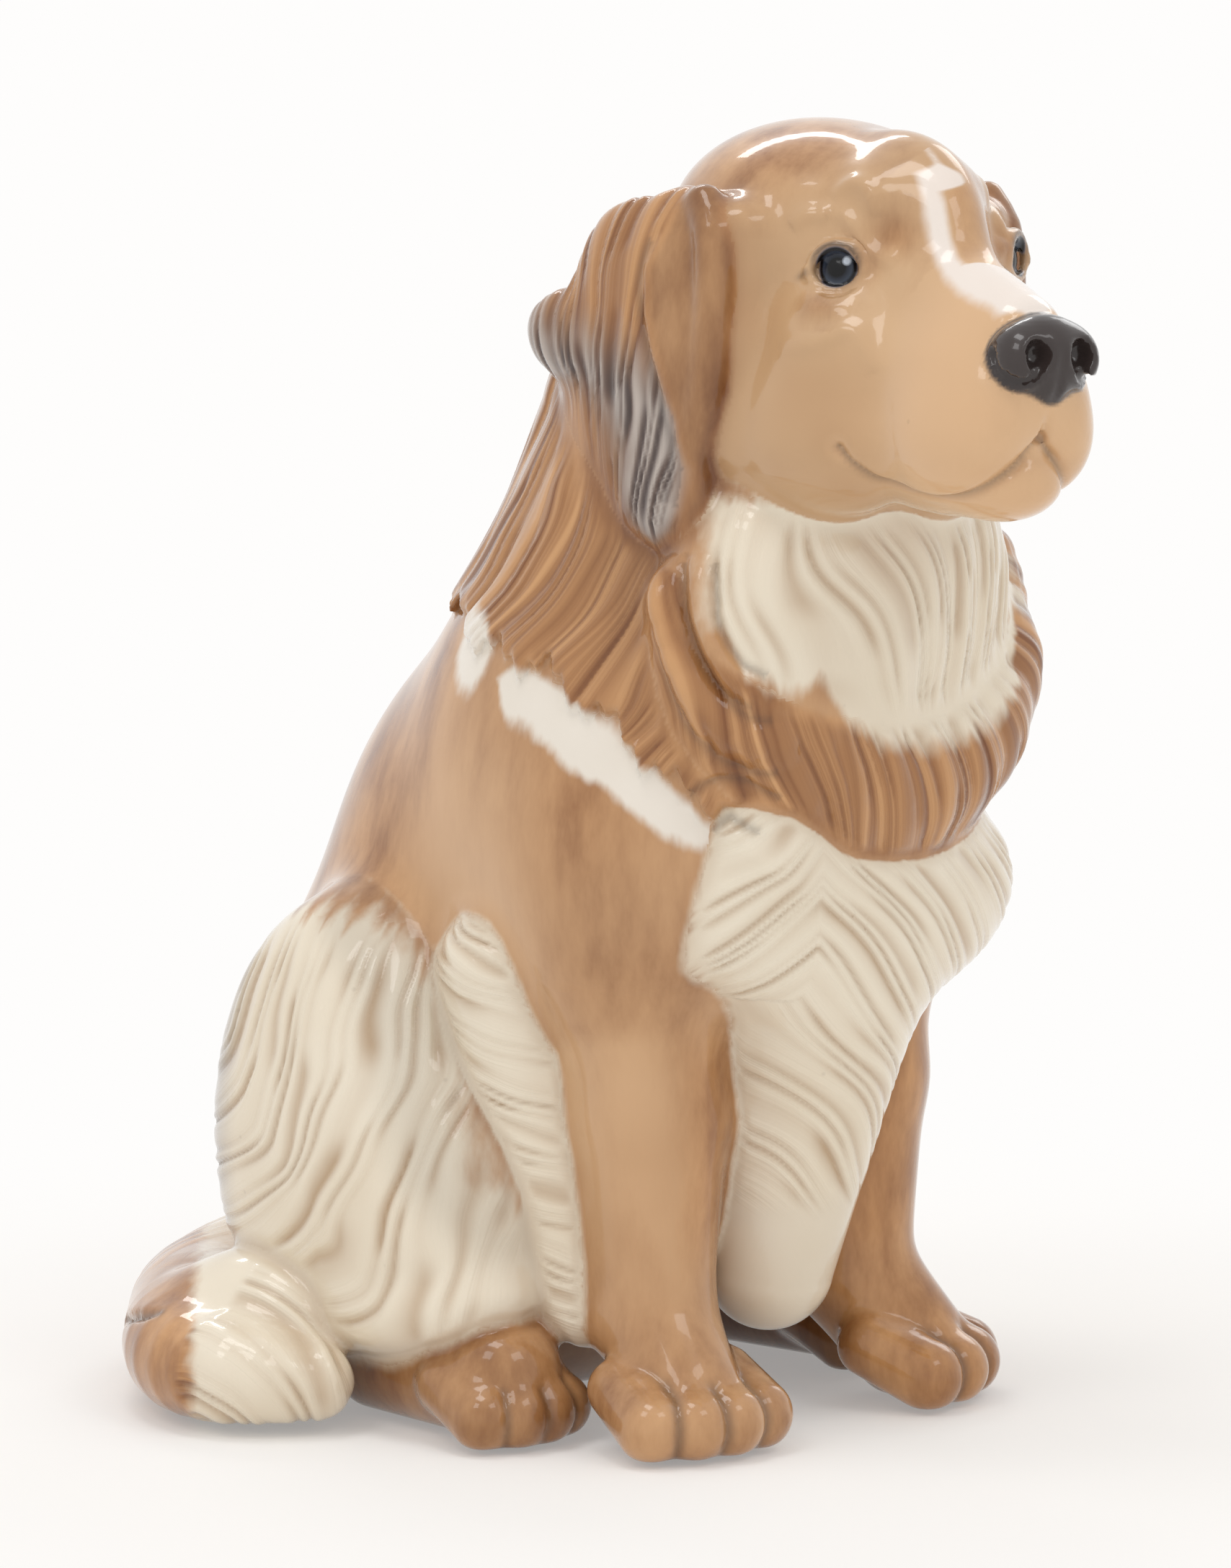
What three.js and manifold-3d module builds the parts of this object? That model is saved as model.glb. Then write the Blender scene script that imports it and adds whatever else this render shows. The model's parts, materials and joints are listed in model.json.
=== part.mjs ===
// A sitting dog in glazed porcelain, made as a pottery makes it: hollow castings and solid
// pressings, each its own piece, seated on one another with a thin seam of slip between them.
// Millimetres, +Z up. The dog faces -Y and its left side is +X.
import * as THREE from 'three';
import { mergeVertices } from 'three/addons/utils/BufferGeometryUtils.js';
import Module from 'manifold-3d';

const wasm = await Module();
wasm.setup();

// Driving dimensions: the pottery
const WALL = 4; // thickness of a hollow casting
const SEAM = 0.3; // slip left between two pieces
const VENT = 11; // diameter of the hole in the underside that lets air out in the kiln
const NECK_VENT = 14; // diameter of the hole through the neck, between the two hollows

// Driving dimensions: the torso, from the rump up to the neck
const RUMP = { y: 54, z: 42, wide: 80, deep: 84, high: 92 };
const LOIN = { y: 42, z: 72, wide: 68, deep: 80, high: 96 };
const RIBS = { y: 18, z: 96, wide: 76, deep: 84, high: 84 };
const SHOULDER = { x: 26, y: 6, z: 86, wide: 28, deep: 36, high: 56 };
const NECK = { yLow: 18, zLow: 112, low: 66, yHigh: 7.5, zHigh: 151, high: 55 };
const TORSO_BLEND = 16;

// Driving dimensions: the mane, a thicker coat over the neck that ends in a ragged line of tufts
const MANE = { proud: 1.5, edge: 2, tuft: 12, ragged: 4, sweep: 0.35 };
const MANE_LINE = [
  { y: -14, z: 101 },
  { y: -3, z: 111 },
  { y: 12, z: 118.5 },
  { y: 36, z: 123 },
  { y: 60, z: 127 },
];

// Driving dimensions: the head, in its own frame at the middle of the skull
const HEAD = { ahead: 25.2, above: 33, turn: 13, tilt: 3.5 };
const SKULL = { y: 7.6, z: -0.7, wide: 45, long: 52.6, high: 34 };
const FOREHEAD = { y: -11.7, z: 0, wide: 19, long: 35, high: 32.6 };
const CHEEK = { x: 8, y: -10, z: -18, wide: 26, long: 36, high: 32 };
const MUZZLE = { y: -29.5, z: -18, wide: 25, long: 45, high: 26 };
const LIP = { x: 5.4, y: -38, z: -22.5, wide: 14, long: 27, high: 20 };
const FLEW = { x: 7.2, y: -35.5, z: -26, wide: 13.8, long: 28, high: 19 };
const JOWL = { x: 9.5, y: -6, z: -28.5, wide: 28, long: 46, high: 26 };
const JAW = { y: -27, z: -32, wide: 21, long: 46, high: 13.5 };
const CHIN = { y: -42, z: -30.8, wide: 15.5, long: 16, high: 12.4 };
const NOSE = { y: -49.6, z: -12.1, wide: 14.8, long: 11, high: 11.4 };
const NOSE_WING = { x: 4.6, y: -49.8, z: -13.1, wide: 8.2, long: 10.5, high: 9.6 };
const NOSE_FOOT = { y: -50.2, z: -16.4, wide: 7.5, long: 8, high: 7 };
const BROW = { x: 6, y: -14, z: 7, wide: 9, long: 12, high: 8.7 };
const BRIDGE = { yBack: -14, zBack: -5, back: 20, yFront: -43, zFront: -10, front: 12 };
const THROAT = { y: 0, z: -24, wide: 38, long: 40, high: 30 };
const HEAD_BLEND = 7;
const FACE_FILLET = { flew: 3, jowl: 5, jaw: 4, mouth: 1.2, nose: 1 };

// Driving dimensions: the ears, in the head's frame
const EAR = { out: 2.5, y: 7, z: -1.5, thick: 9, lean: 0.12 };
const EAR_ROOT = { wide: 16, high: 16 };
const EAR_FOLD = { out: 4.3, y: 13, z: -7, wide: 29, high: 22 };
const EAR_FLAP = { out: 5.5, y: 13.5, z: -19, wide: 34, high: 36 };
const EAR_CURL = { out: 6.5, y: 27, z: -18, wide: 19, high: 13 };
const EAR_TIP = { out: 4.5, y: 14, z: -31, wide: 27, high: 24 };
const EAR_POINT = { out: 4.5, y: 8, z: -39.5, wide: 18, high: 15.5 };
const EAR_ROLL = { high: 5.4, low: 4.2, fillet: 1.5 };
const EAR_BLEND = 4;

// Driving dimensions: the forelegs
const FORELEG = { x: 22, y: 3.5, elbow: 84, knee: 50, pastern: 20 };
const FORELEG_GIRTH = { elbow: 26, knee: 23, pastern: 18.4 };
const FOREPAW = { ball: 9, reach: 15, rightOut: 15, leftOut: 26, high: 18, toe: 11.2, spread: 6.2 };
const ELBOW_OUT = 2;
const PAW_BLEND = 4;

// Driving dimensions: the hind legs
const HAUNCH = { x: 36, y: 52, z: 42, wide: 34, deep: 52, high: 76 };
const KNEE = { out: 1, y: 34, z: 30, wide: 28, deep: 36, high: 52 };
const HAUNCH_BLEND = 12;
const SKIRT = { girth: 7, fillet: 5 }; // the roll of fur along the haunch's lower edge
const HINDFOOT = { heel: 46, ball: 27, reach: 31.5, toeOut: 6, high: 19, toe: 10.4, spread: 4.9 };

// Driving dimensions: the tail, lying on the table round the dog's right haunch
const TAIL = { root: 18, middle: 20, tip: 12, wrap: 10 };
const TUFT = { in: 13, back: 8, z: 15, wide: 20, deep: 30, high: 20 };

// Driving dimensions: the feathered tufts
const BIB = { proud: 9, z: 128, wide: 62, deep: 34, high: 46 };
const BIB_TOP = { back: 2.5, z: 139, wide: 55, deep: 34, high: 34, fillet: 8 };
const RUFF = { x: 4, wide: 64, zHigh: 130, zLow: 101, proud: 5, sweep: 9, thick: 25, thin: 10 };
const FEATHER = { x: 4, proud: 12, z: 82, wide: 66, deep: 32, high: 36, low: 24, narrow: 20, tuck: 12 };
const LEAF = { x: -19, proud: 3.5, z: 92, girth: 20, tipX: -27.5, back: 3.5, tipZ: 77.5, tip: 7, fillet: 5 };
const FRINGE = { back: 9.5, out: 5, flare: 7, sweep: 11, zHigh: 72, zLow: 20, high: 17, low: 12 };

// A field gives the distance from a point to a shape's surface, less than zero inside it.
function ellipsoid(x, y, z, wide, deep, high) {
  const a = wide / 2;
  const b = deep / 2;
  const c = high / 2;
  return (px, py, pz) => {
    const u = (px - x) / a;
    const v = (py - y) / b;
    const w = (pz - z) / c;
    const near = Math.hypot(u, v, w);
    const slope = Math.hypot(u / a, v / b, w / c);
    return slope > 0 ? (near * (near - 1)) / slope : -Math.min(a, b, c);
  };
}

// An ellipsoid from a named size, on the midline or to one side of it.
const lump = (size, x = size.x ?? 0) =>
  ellipsoid(x, size.y, size.z, size.wide, size.deep ?? size.long, size.high);
const pair = (size) => [lump(size), lump(size, -size.x)];

// A limb between two balls of given girth.
function taper(a, girthA, b, girthB) {
  const dx = b.x - a.x;
  const dy = b.y - a.y;
  const dz = b.z - a.z;
  const square = dx * dx + dy * dy + dz * dz;
  return (x, y, z) => {
    const along = ((x - a.x) * dx + (y - a.y) * dy + (z - a.z) * dz) / square;
    const t = Math.min(1, Math.max(0, along));
    const far = Math.hypot(x - a.x - t * dx, y - a.y - t * dy, z - a.z - t * dz);
    return far - (girthA + t * (girthB - girthA)) / 2;
  };
}

// A rope of limbs along a curve, with its girth given along the way.
function rope(curve, girth, steps = 12) {
  const links = [];
  for (let i = 0; i < steps; i++) {
    const a = i / steps;
    const b = (i + 1) / steps;
    links.push(taper(curve.getPointAt(a), girth(a), curve.getPointAt(b), girth(b)));
  }
  return (x, y, z) => Math.min(...links.map((link) => link(x, y, z)));
}

// Several fields pressed into one, with a fillet of about the blend's size where they meet.
function press(blend, ...fields) {
  return (x, y, z) => {
    const far = fields.map((field) => field(x, y, z));
    const least = Math.min(...far);
    let sum = 0;
    for (const each of far) sum += Math.exp((-4 * (each - least)) / blend);
    return least - (blend * Math.log(sum)) / 4;
  };
}

// Fields joined with a fillet that leaves each as it is away from the joint.
function join(fillet, ...fields) {
  const blend = (a, b) => {
    const overlap = Math.max(0, fillet - Math.abs(a - b));
    return Math.min(a, b) - (overlap * overlap) / (4 * fillet);
  };
  return (x, y, z) => fields.map((field) => field(x, y, z)).reduce(blend);
}

// The distance along a ray from a point inside a field to where it leaves the field's surface.
function exit(field, from, way, offset) {
  const at = (t) => field(from.x + t * way.x, from.y + t * way.y, from.z + t * way.z) - offset;
  let inside = 0;
  let outside = 0;
  while (at(outside) < 0) {
    inside = outside;
    outside += Math.max(0.4, -0.7 * at(outside));
  }
  for (let i = 0; i < 24; i++) {
    const middle = (inside + outside) / 2;
    if (at(middle) < 0) inside = middle;
    else outside = middle;
  }
  return outside;
}

// A closed skin over a field: rays leave a core line that runs inside it, none below the floor.
function skin(piece, offset = 0, floor = 0, coarse = 1) {
  const { field, core, side, flat = 1 } = piece;
  const rows = Math.max(3, Math.round(piece.rows / coarse));
  const around = Math.max(8, Math.round(piece.around / coarse));
  const caps = Math.max(2, Math.round(around / 5));
  const rings = [];
  for (let i = 1; i <= caps; i++) rings.push([0, (i / caps - 1) * 90]);
  for (let i = 1; i < rows; i++) rings.push([i / rows, 0]);
  for (let i = 0; i < caps; i++) rings.push([1, (i / caps) * 90]);
  const points = [];
  const shoot = (s, way) => {
    const from = core.getPointAt(s);
    let reach = exit(field, from, way, offset);
    if (way.z < 0) reach = Math.min(reach, (from.z - floor) / -way.z);
    points.push(from.addScaledVector(way, reach));
  };
  shoot(0, core.getTangentAt(0).negate());
  for (const [s, lean] of rings) {
    const along = core.getTangentAt(s);
    const across = side.clone().addScaledVector(along, -side.dot(along)).normalize();
    const out = along.clone().cross(across);
    const rise = THREE.MathUtils.degToRad(lean);
    for (let j = 0; j < around; j++) {
      const turn = (2 * Math.PI * j) / around;
      const way = across.clone().multiplyScalar(Math.cos(turn));
      way.addScaledVector(out, flat * Math.sin(turn)).normalize();
      shoot(s, way.multiplyScalar(Math.cos(rise)).addScaledVector(along, Math.sin(rise)));
    }
  }
  shoot(1, core.getTangentAt(1));
  const index = [];
  const last = points.length - 1;
  const at = (ring, j) => 1 + ring * around + (j % around);
  for (let j = 0; j < around; j++) {
    index.push(0, at(0, j + 1), at(0, j));
    for (let ring = 0; ring + 1 < rings.length; ring++) {
      index.push(at(ring, j), at(ring, j + 1), at(ring + 1, j));
      index.push(at(ring, j + 1), at(ring + 1, j + 1), at(ring + 1, j));
    }
    index.push(last, at(rings.length - 1, j), at(rings.length - 1, j + 1));
  }
  const geometry = new THREE.BufferGeometry().setFromPoints(points);
  geometry.setIndex(index);
  return geometry;
}

function solidOf(geometry) {
  const vertProperties = new Float32Array(geometry.attributes.position.array);
  const triVerts = new Uint32Array(geometry.index.array);
  return new wasm.Manifold(new wasm.Mesh({ numProp: 3, vertProperties, triVerts }));
}

function geometryOf(solid) {
  const mesh = solid.getMesh();
  const geometry = new THREE.BufferGeometry();
  geometry.setAttribute('position', new THREE.BufferAttribute(mesh.vertProperties, 3));
  geometry.setIndex(new THREE.BufferAttribute(mesh.triVerts, 1));
  return geometry;
}

const point = (x, y, z) => new THREE.Vector3(x, y, z);
const line = (...points) => new THREE.CatmullRomCurve3(points);
const ACROSS = point(1, 0, 0);
const UP = point(0, 0, 1);

// How far a point lies above the ragged line where the mane ends
function aboveMane(x, y, z) {
  const next = MANE_LINE.findIndex((corner, i) => i > 0 && (y < corner.y || i + 1 === MANE_LINE.length));
  const a = MANE_LINE[next - 1];
  const b = MANE_LINE[next];
  const edge = THREE.MathUtils.mapLinear(THREE.MathUtils.clamp(y, a.y, b.y), a.y, b.y, a.z, b.z);
  const along = (y + MANE.sweep * Math.abs(x)) / MANE.tuft;
  const tip = Math.abs(along - Math.floor(along) - 0.5) * 2;
  return z - edge - MANE.ragged * (tip - 0.5);
}

// The torso: rump, loin, ribs, shoulders and the stump of the neck, with the mane over it
const neckLow = point(0, NECK.yLow, NECK.zLow);
const neckHigh = point(0, NECK.yHigh, NECK.zHigh);
const bareTorso = press(
  TORSO_BLEND,
  lump(RUMP),
  lump(LOIN),
  lump(RIBS),
  ...pair(SHOULDER),
  taper(neckLow, NECK.low, neckHigh, NECK.high),
);
const maneAt = (x, y, z) =>
  MANE.proud * THREE.MathUtils.smoothstep(aboveMane(x, y, z), -MANE.edge / 2, MANE.edge / 2);
const torso = {
  field: (x, y, z) => bareTorso(x, y, z) - maneAt(x, y, z),
  core: line(
    point(0, RUMP.y, RUMP.z - 10),
    point(0, LOIN.y - 6, LOIN.z),
    point(0, RIBS.y, RIBS.z + 6),
    point(0, NECK.yHigh, NECK.zHigh),
  ),
  side: ACROSS,
  rows: 40,
  around: 38,
};
const chest = RIBS.y - RIBS.deep / 2; // the front of the ribs, where the tufts sit

// The head stands on the neck, turned to the dog's right and tilted a little.
const headFrame = new THREE.Matrix4().makeRotationFromEuler(
  new THREE.Euler(
    0,
    THREE.MathUtils.degToRad(HEAD.tilt),
    THREE.MathUtils.degToRad(-HEAD.turn),
    'ZYX',
  ),
);
headFrame.setPosition(0, NECK.yHigh - HEAD.ahead, NECK.zHigh + HEAD.above);
const toHead = headFrame.clone().invert();
const headPoint = (x, y, z) => point(x, y, z).applyMatrix4(headFrame);

function onHead(field) {
  const m = toHead.elements;
  return (x, y, z) =>
    field(
      m[0] * x + m[4] * y + m[8] * z + m[12],
      m[1] * x + m[5] * y + m[9] * z + m[13],
      m[2] * x + m[6] * y + m[10] * z + m[14],
    );
}

const bridgeBack = point(0, BRIDGE.yBack, BRIDGE.zBack);
const bridgeFront = point(0, BRIDGE.yFront, BRIDGE.zFront);
const skull = press(
  HEAD_BLEND,
  lump(SKULL),
  lump(FOREHEAD),
  ...pair(CHEEK),
  lump(MUZZLE),
  ...pair(LIP),
  ...pair(BROW),
  taper(bridgeBack, BRIDGE.back, bridgeFront, BRIDGE.front),
  lump(THROAT),
);
const upperFace = join(FACE_FILLET.flew, skull, join(FACE_FILLET.flew, ...pair(FLEW)));
const face = join(FACE_FILLET.jowl, upperFace, join(FACE_FILLET.jowl, ...pair(JOWL)));
const jaw = join(FACE_FILLET.jaw, lump(JAW), lump(CHIN));
const nose = join(2 * FACE_FILLET.nose, lump(NOSE), ...pair(NOSE_WING), lump(NOSE_FOOT));
const head = {
  field: onHead(join(FACE_FILLET.nose, join(FACE_FILLET.mouth, face, jaw), nose)),
  core: line(
    headPoint(0, SKULL.y + 7, SKULL.z - 7),
    headPoint(0, (SKULL.y + MUZZLE.y) / 2 - 5, (SKULL.z + MUZZLE.z) / 2 - 5),
    headPoint(0, (LIP.y + NOSE.y) / 2 + 2, (LIP.z + NOSE.z) / 2 - 2),
  ),
  side: ACROSS,
  rows: 26,
  around: 38,
};

// An ear hangs from the side of the skull, its back edge standing out more than its front.
function ear(hand) {
  const out = (size) => SKULL.wide / 2 + size.out;
  const lean = (y) => hand * EAR.lean * (y - EAR.y);
  const lobe = (size, y, z) => ellipsoid(hand * out(size), y, z, EAR.thick, size.wide, size.high);
  const inside = (size, y, z) => headPoint(hand * out(size) + lean(y), y, z);
  const flap = press(
    EAR_BLEND,
    lobe({ ...EAR, ...EAR_ROOT }, EAR.y, EAR.z),
    lobe(EAR_FOLD, EAR_FOLD.y, EAR_FOLD.z),
    lobe(EAR_FLAP, EAR_FLAP.y, EAR_FLAP.z),
    lobe(EAR_CURL, EAR_CURL.y, EAR_CURL.z),
    lobe(EAR_TIP, EAR_TIP.y, EAR_TIP.z),
    lobe(EAR_POINT, EAR_POINT.y, EAR_POINT.z),
  );
  const rollAt = (size, x, y, z) => point(hand * (out(size) + x), y, z);
  const roll = line(
    rollAt(EAR, 1, 3, 4.5),
    rollAt(EAR_FOLD, 0.6, -0.8, 0),
    rollAt(EAR_FLAP, 0, -2.6, -13),
    rollAt(EAR_FLAP, 0, -2.2, -23),
    rollAt(EAR_TIP, 0.8, 0.4, -31),
    rollAt(EAR_POINT, 0.2, 3.4, -43),
  );
  const rollGirth = (s) => THREE.MathUtils.lerp(EAR_ROLL.high, EAR_ROLL.low, s);
  const leaf = join(EAR_ROLL.fillet, flap, rope(roll, rollGirth, 18));
  return {
    field: onHead((x, y, z) => leaf(x - lean(y), y, z)),
    core: line(
      inside(EAR, EAR.y, EAR.z),
      inside(EAR_FOLD, EAR_FOLD.y, EAR_FOLD.z),
      inside(EAR_FLAP, EAR_FLAP.y, EAR_FLAP.z),
      inside(EAR_POINT, EAR_POINT.y, EAR_POINT.z),
    ),
    side: point(0, 1, 0),
    flat: 0.3,
    rows: 12,
    around: 22,
  };
}

// Four toes side by side in front of a paw's ball
function toes(ball, ahead, reach, girth, spread) {
  const beside = ahead.clone().cross(UP);
  return [-1.5, -0.5, 0.5, 1.5].map((place) => {
    const tip = ball.clone().addScaledVector(ahead, reach - Math.abs(place) * 2.2);
    tip.addScaledVector(beside, place * spread).setZ(girth / 2);
    const knuckle = tip.clone().addScaledVector(ahead, -girth * 0.85);
    return taper(knuckle.setZ(girth * 0.86), girth * 0.86, tip, girth * 0.98);
  });
}

function toeWay(hand, degrees) {
  const out = THREE.MathUtils.degToRad(degrees);
  return point(hand * Math.sin(out), -Math.cos(out), 0);
}

function foreleg(hand) {
  const at = (z, out = 0) => point(hand * (FORELEG.x + out), FORELEG.y + out, z);
  const ahead = toeWay(hand, hand < 0 ? FOREPAW.rightOut : FOREPAW.leftOut);
  const ball = at(FOREPAW.high / 2).addScaledVector(ahead, FOREPAW.ball);
  const elbow = at(FORELEG.elbow, ELBOW_OUT);
  const knee = at(FORELEG.knee);
  const pastern = at(FORELEG.pastern);
  return {
    field: press(
      PAW_BLEND,
      taper(elbow, FORELEG_GIRTH.elbow, knee, FORELEG_GIRTH.knee),
      taper(knee, FORELEG_GIRTH.knee, pastern, FORELEG_GIRTH.pastern),
      taper(pastern, FORELEG_GIRTH.pastern, ball, FOREPAW.high),
      ...toes(at(0), ahead, FOREPAW.reach + 3.6, FOREPAW.toe, FOREPAW.spread),
    ),
    core: line(
      elbow,
      knee,
      pastern,
      ball,
      ball.clone().addScaledVector(ahead, (FOREPAW.reach - FOREPAW.ball) * 0.9).setZ(FOREPAW.toe / 2),
    ),
    side: ACROSS,
    rows: 18,
    around: 18,
  };
}

function haunch(hand) {
  const x = hand * HAUNCH.x;
  const thigh = press(HAUNCH_BLEND, lump(HAUNCH, x), lump(KNEE, x + hand * KNEE.out));
  const hem = (out, back, drop) => point(x + hand * out, KNEE.y + back, KNEE.z - drop);
  const skirt = line(hem(3, -15.5, 8), hem(10, -10, 10), hem(12.5, 0, 12), hem(10.5, 10, 13));
  return {
    field: join(SKIRT.fillet, thigh, rope(skirt, () => SKIRT.girth)),
    core: line(point(x, HAUNCH.y, HAUNCH.z + 16), point(x, HAUNCH.y - 6, HAUNCH.z - 12)),
    side: ACROSS,
    rows: 10,
    around: 24,
  };
}

function hindFoot(hand) {
  const heel = point(hand * HAUNCH.x, HINDFOOT.heel, HINDFOOT.high / 2);
  const ahead = toeWay(hand, HINDFOOT.toeOut);
  const ball = heel.clone().addScaledVector(ahead, HINDFOOT.ball);
  return {
    field: press(
      PAW_BLEND,
      taper(heel, HINDFOOT.high, ball, HINDFOOT.high),
      ...toes(heel, ahead, HINDFOOT.reach + 3.6, HINDFOOT.toe, HINDFOOT.spread),
    ),
    core: line(heel, ball, ball.clone().addScaledVector(ahead, 4).setZ(HINDFOOT.toe / 2)),
    side: ACROSS,
    rows: 10,
    around: 16,
  };
}

// The tail comes out under the rump, goes round behind the right haunch and turns in before it.
const tailZ = TAIL.middle / 2;
const tailRear = RUMP.y + RUMP.deep / 2;
const tailSide = HAUNCH.x + HAUNCH.wide / 2 + TAIL.wrap;
const tailLine = line(
  point(0, tailRear - 12, tailZ + 7),
  point(-14, tailRear - 1, tailZ + 2),
  point(-30, tailRear - 4, tailZ),
  point(17 - tailSide, tailRear - 17, tailZ),
  point(3 - tailSide, HAUNCH.y + 13, tailZ - 0.5),
  point(-tailSide, HAUNCH.y, tailZ - 1),
  point(8 - tailSide, HAUNCH.y - 9, tailZ - 2),
);
const tailGirth = (s) =>
  s < 0.5
    ? THREE.MathUtils.lerp(TAIL.root, TAIL.middle, 2 * s)
    : THREE.MathUtils.lerp(TAIL.middle, TAIL.tip, (2 * s - 1) ** 2);
const tuftAt = point(TUFT.in - tailSide, HAUNCH.y + TUFT.back, TUFT.z);
const tuftEnd = point(0, TUFT.deep / 4, 0);
const tuft = {
  field: ellipsoid(tuftAt.x, tuftAt.y, tuftAt.z, TUFT.wide, TUFT.deep, TUFT.high),
  core: line(tuftAt.clone().sub(tuftEnd), tuftAt.clone().add(tuftEnd)),
  side: UP,
  rows: 6,
  around: 14,
};
const tail = {
  field: rope(tailLine, tailGirth, 24),
  core: tailLine,
  side: UP,
  rows: 22,
  around: 16,
  lobe: tuft,
};

const bibY = chest + BIB.proud;
const bib = {
  field: join(BIB_TOP.fillet, lump({ ...BIB, y: bibY }), lump({ ...BIB_TOP, y: bibY + BIB_TOP.back })),
  core: line(point(0, bibY, BIB_TOP.z), point(0, bibY, BIB.z - 8)),
  side: ACROSS,
  rows: 8,
  around: 24,
};

// The ruff hangs under the bib like a crescent, thickest in the middle.
const ruffAt = (share, drop) =>
  point(
    RUFF.x + share * RUFF.wide,
    chest + RUFF.proud + RUFF.sweep * (1 - drop),
    THREE.MathUtils.lerp(RUFF.zHigh, RUFF.zLow, drop),
  );
const ruffLine = line(ruffAt(-0.5, 0), ruffAt(-0.4, 0.6), ruffAt(0, 1), ruffAt(0.4, 0.6), ruffAt(0.5, 0));
const ruffGirth = (s) => THREE.MathUtils.lerp(RUFF.thin, RUFF.thick, Math.sin(Math.PI * s));
const ruff = { field: rope(ruffLine, ruffGirth), core: ruffLine, side: UP, rows: 16, around: 14 };

// The chest feather spreads below the ruff and narrows to a keel between the forelegs.
const featherY = chest + FEATHER.proud;
const featherLow = point(0, featherY + FEATHER.tuck, FEATHER.low);
const breast = press(
  10,
  ellipsoid(FEATHER.x, featherY, FEATHER.z, FEATHER.wide, FEATHER.deep, FEATHER.high),
  taper(point(0, featherY + 2, FEATHER.z - 12), FEATHER.deep, featherLow, FEATHER.narrow),
);
const leafTop = point(LEAF.x, featherY - LEAF.proud, LEAF.z);
const leafTip = point(LEAF.tipX, featherY + LEAF.back, LEAF.tipZ);
const feather = {
  field: join(LEAF.fillet, breast, taper(leafTop, LEAF.girth, leafTip, LEAF.tip)),
  core: line(point(0, featherY, FEATHER.z), featherLow),
  side: ACROSS,
  rows: 11,
  around: 22,
};

// A fringe of long hair behind each foreleg, wider at the elbow
function fringe(hand) {
  const x = FORELEG.x + FRINGE.out;
  const y = FORELEG.y + FRINGE.back;
  const high = point(hand * (x + FRINGE.flare), y + FRINGE.sweep, FRINGE.zHigh);
  const low = point(hand * x, y, FRINGE.zLow);
  return {
    field: taper(high, FRINGE.high, low, FRINGE.low),
    core: line(high, low),
    side: ACROSS,
    rows: 8,
    around: 12,
  };
}

const tan = new THREE.MeshStandardMaterial({ color: '#b98a5c', roughness: 0.15, metalness: 0 });
const brown = new THREE.MeshStandardMaterial({ color: '#a06a3c', roughness: 0.15, metalness: 0 });
const cream = new THREE.MeshStandardMaterial({ color: '#e2d8c4', roughness: 0.15, metalness: 0 });

// Each piece in the order it is made: its glaze, the pieces it is cut to seat on, a hollow's wall
const pieces = [
  ['torso', torso, tan, [], WALL],
  ['head', head, tan, ['torso'], WALL],
  ['right_ear', ear(-1), brown, ['head', 'torso']],
  ['left_ear', ear(1), brown, ['head', 'torso']],
  ['right_foreleg', foreleg(-1), tan, ['torso']],
  ['left_foreleg', foreleg(1), tan, ['torso']],
  ['right_haunch', haunch(-1), cream, ['torso']],
  ['left_haunch', haunch(1), cream, ['torso']],
  ['right_hind_foot', hindFoot(-1), brown, ['torso', 'right_haunch', 'right_foreleg']],
  ['left_hind_foot', hindFoot(1), brown, ['torso', 'left_haunch', 'left_foreleg']],
  ['tail', tail, cream, ['torso', 'right_haunch', 'right_hind_foot']],
  ['throat_bib', bib, cream, ['torso', 'head', 'right_ear', 'left_ear']],
  ['neck_ruff', ruff, brown, ['torso', 'throat_bib', 'head', 'right_ear', 'left_ear']],
  ['chest_feather', feather, cream, ['torso', 'neck_ruff', 'right_foreleg', 'left_foreleg']],
  ['right_leg_fringe', fringe(-1), cream, ['torso', 'right_foreleg', 'right_haunch', 'right_hind_foot']],
  ['left_leg_fringe', fringe(1), cream, ['torso', 'left_foreleg', 'left_haunch', 'left_hind_foot']],
];

// The kiln vents go up through the underside of the rump and through the neck into the head.
const ventY = (NECK.yHigh + NECK.yHigh - HEAD.ahead) / 2;
const vents = [
  [0, RUMP.y, -1, RUMP.z, VENT],
  [0, ventY, NECK.zHigh, NECK.zHigh + HEAD.above, NECK_VENT],
];

function drill(x, y, low, high, wide) {
  const geometry = new THREE.CylinderGeometry(wide / 2, wide / 2, high - low, 16);
  geometry.deleteAttribute('normal');
  geometry.deleteAttribute('uv');
  geometry.rotateX(Math.PI / 2).translate(x, y, (low + high) / 2);
  return solidOf(mergeVertices(geometry));
}

const figurine = new THREE.Group();
const seatsOf = new Map();
for (const [name, piece, glaze, seats, wall] of pieces) {
  let solid = solidOf(skin(piece));
  if (piece.lobe) solid = solid.add(solidOf(skin(piece.lobe)));
  seatsOf.set(name, solidOf(skin(piece, SEAM, -1)));
  for (const seat of seats) solid = solid.subtract(seatsOf.get(seat));
  if (wall) {
    solid = solid.subtract(solidOf(skin(piece, -wall, wall, 1.6)));
    for (const vent of vents) solid = solid.subtract(drill(...vent));
  }
  const bodies = solid.decompose().sort((a, b) => b.volume() - a.volume());
  const mesh = new THREE.Mesh(geometryOf(bodies[0]), glaze.clone());
  mesh.name = name;
  figurine.add(mesh);
}

// The figurine stands with the middle of its box over the origin.
const box = new THREE.Box3().setFromObject(figurine, true);
figurine.position.set(-(box.min.x + box.max.x) / 2, -(box.min.y + box.max.y) / 2, -box.min.z);

export default figurine;
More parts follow.
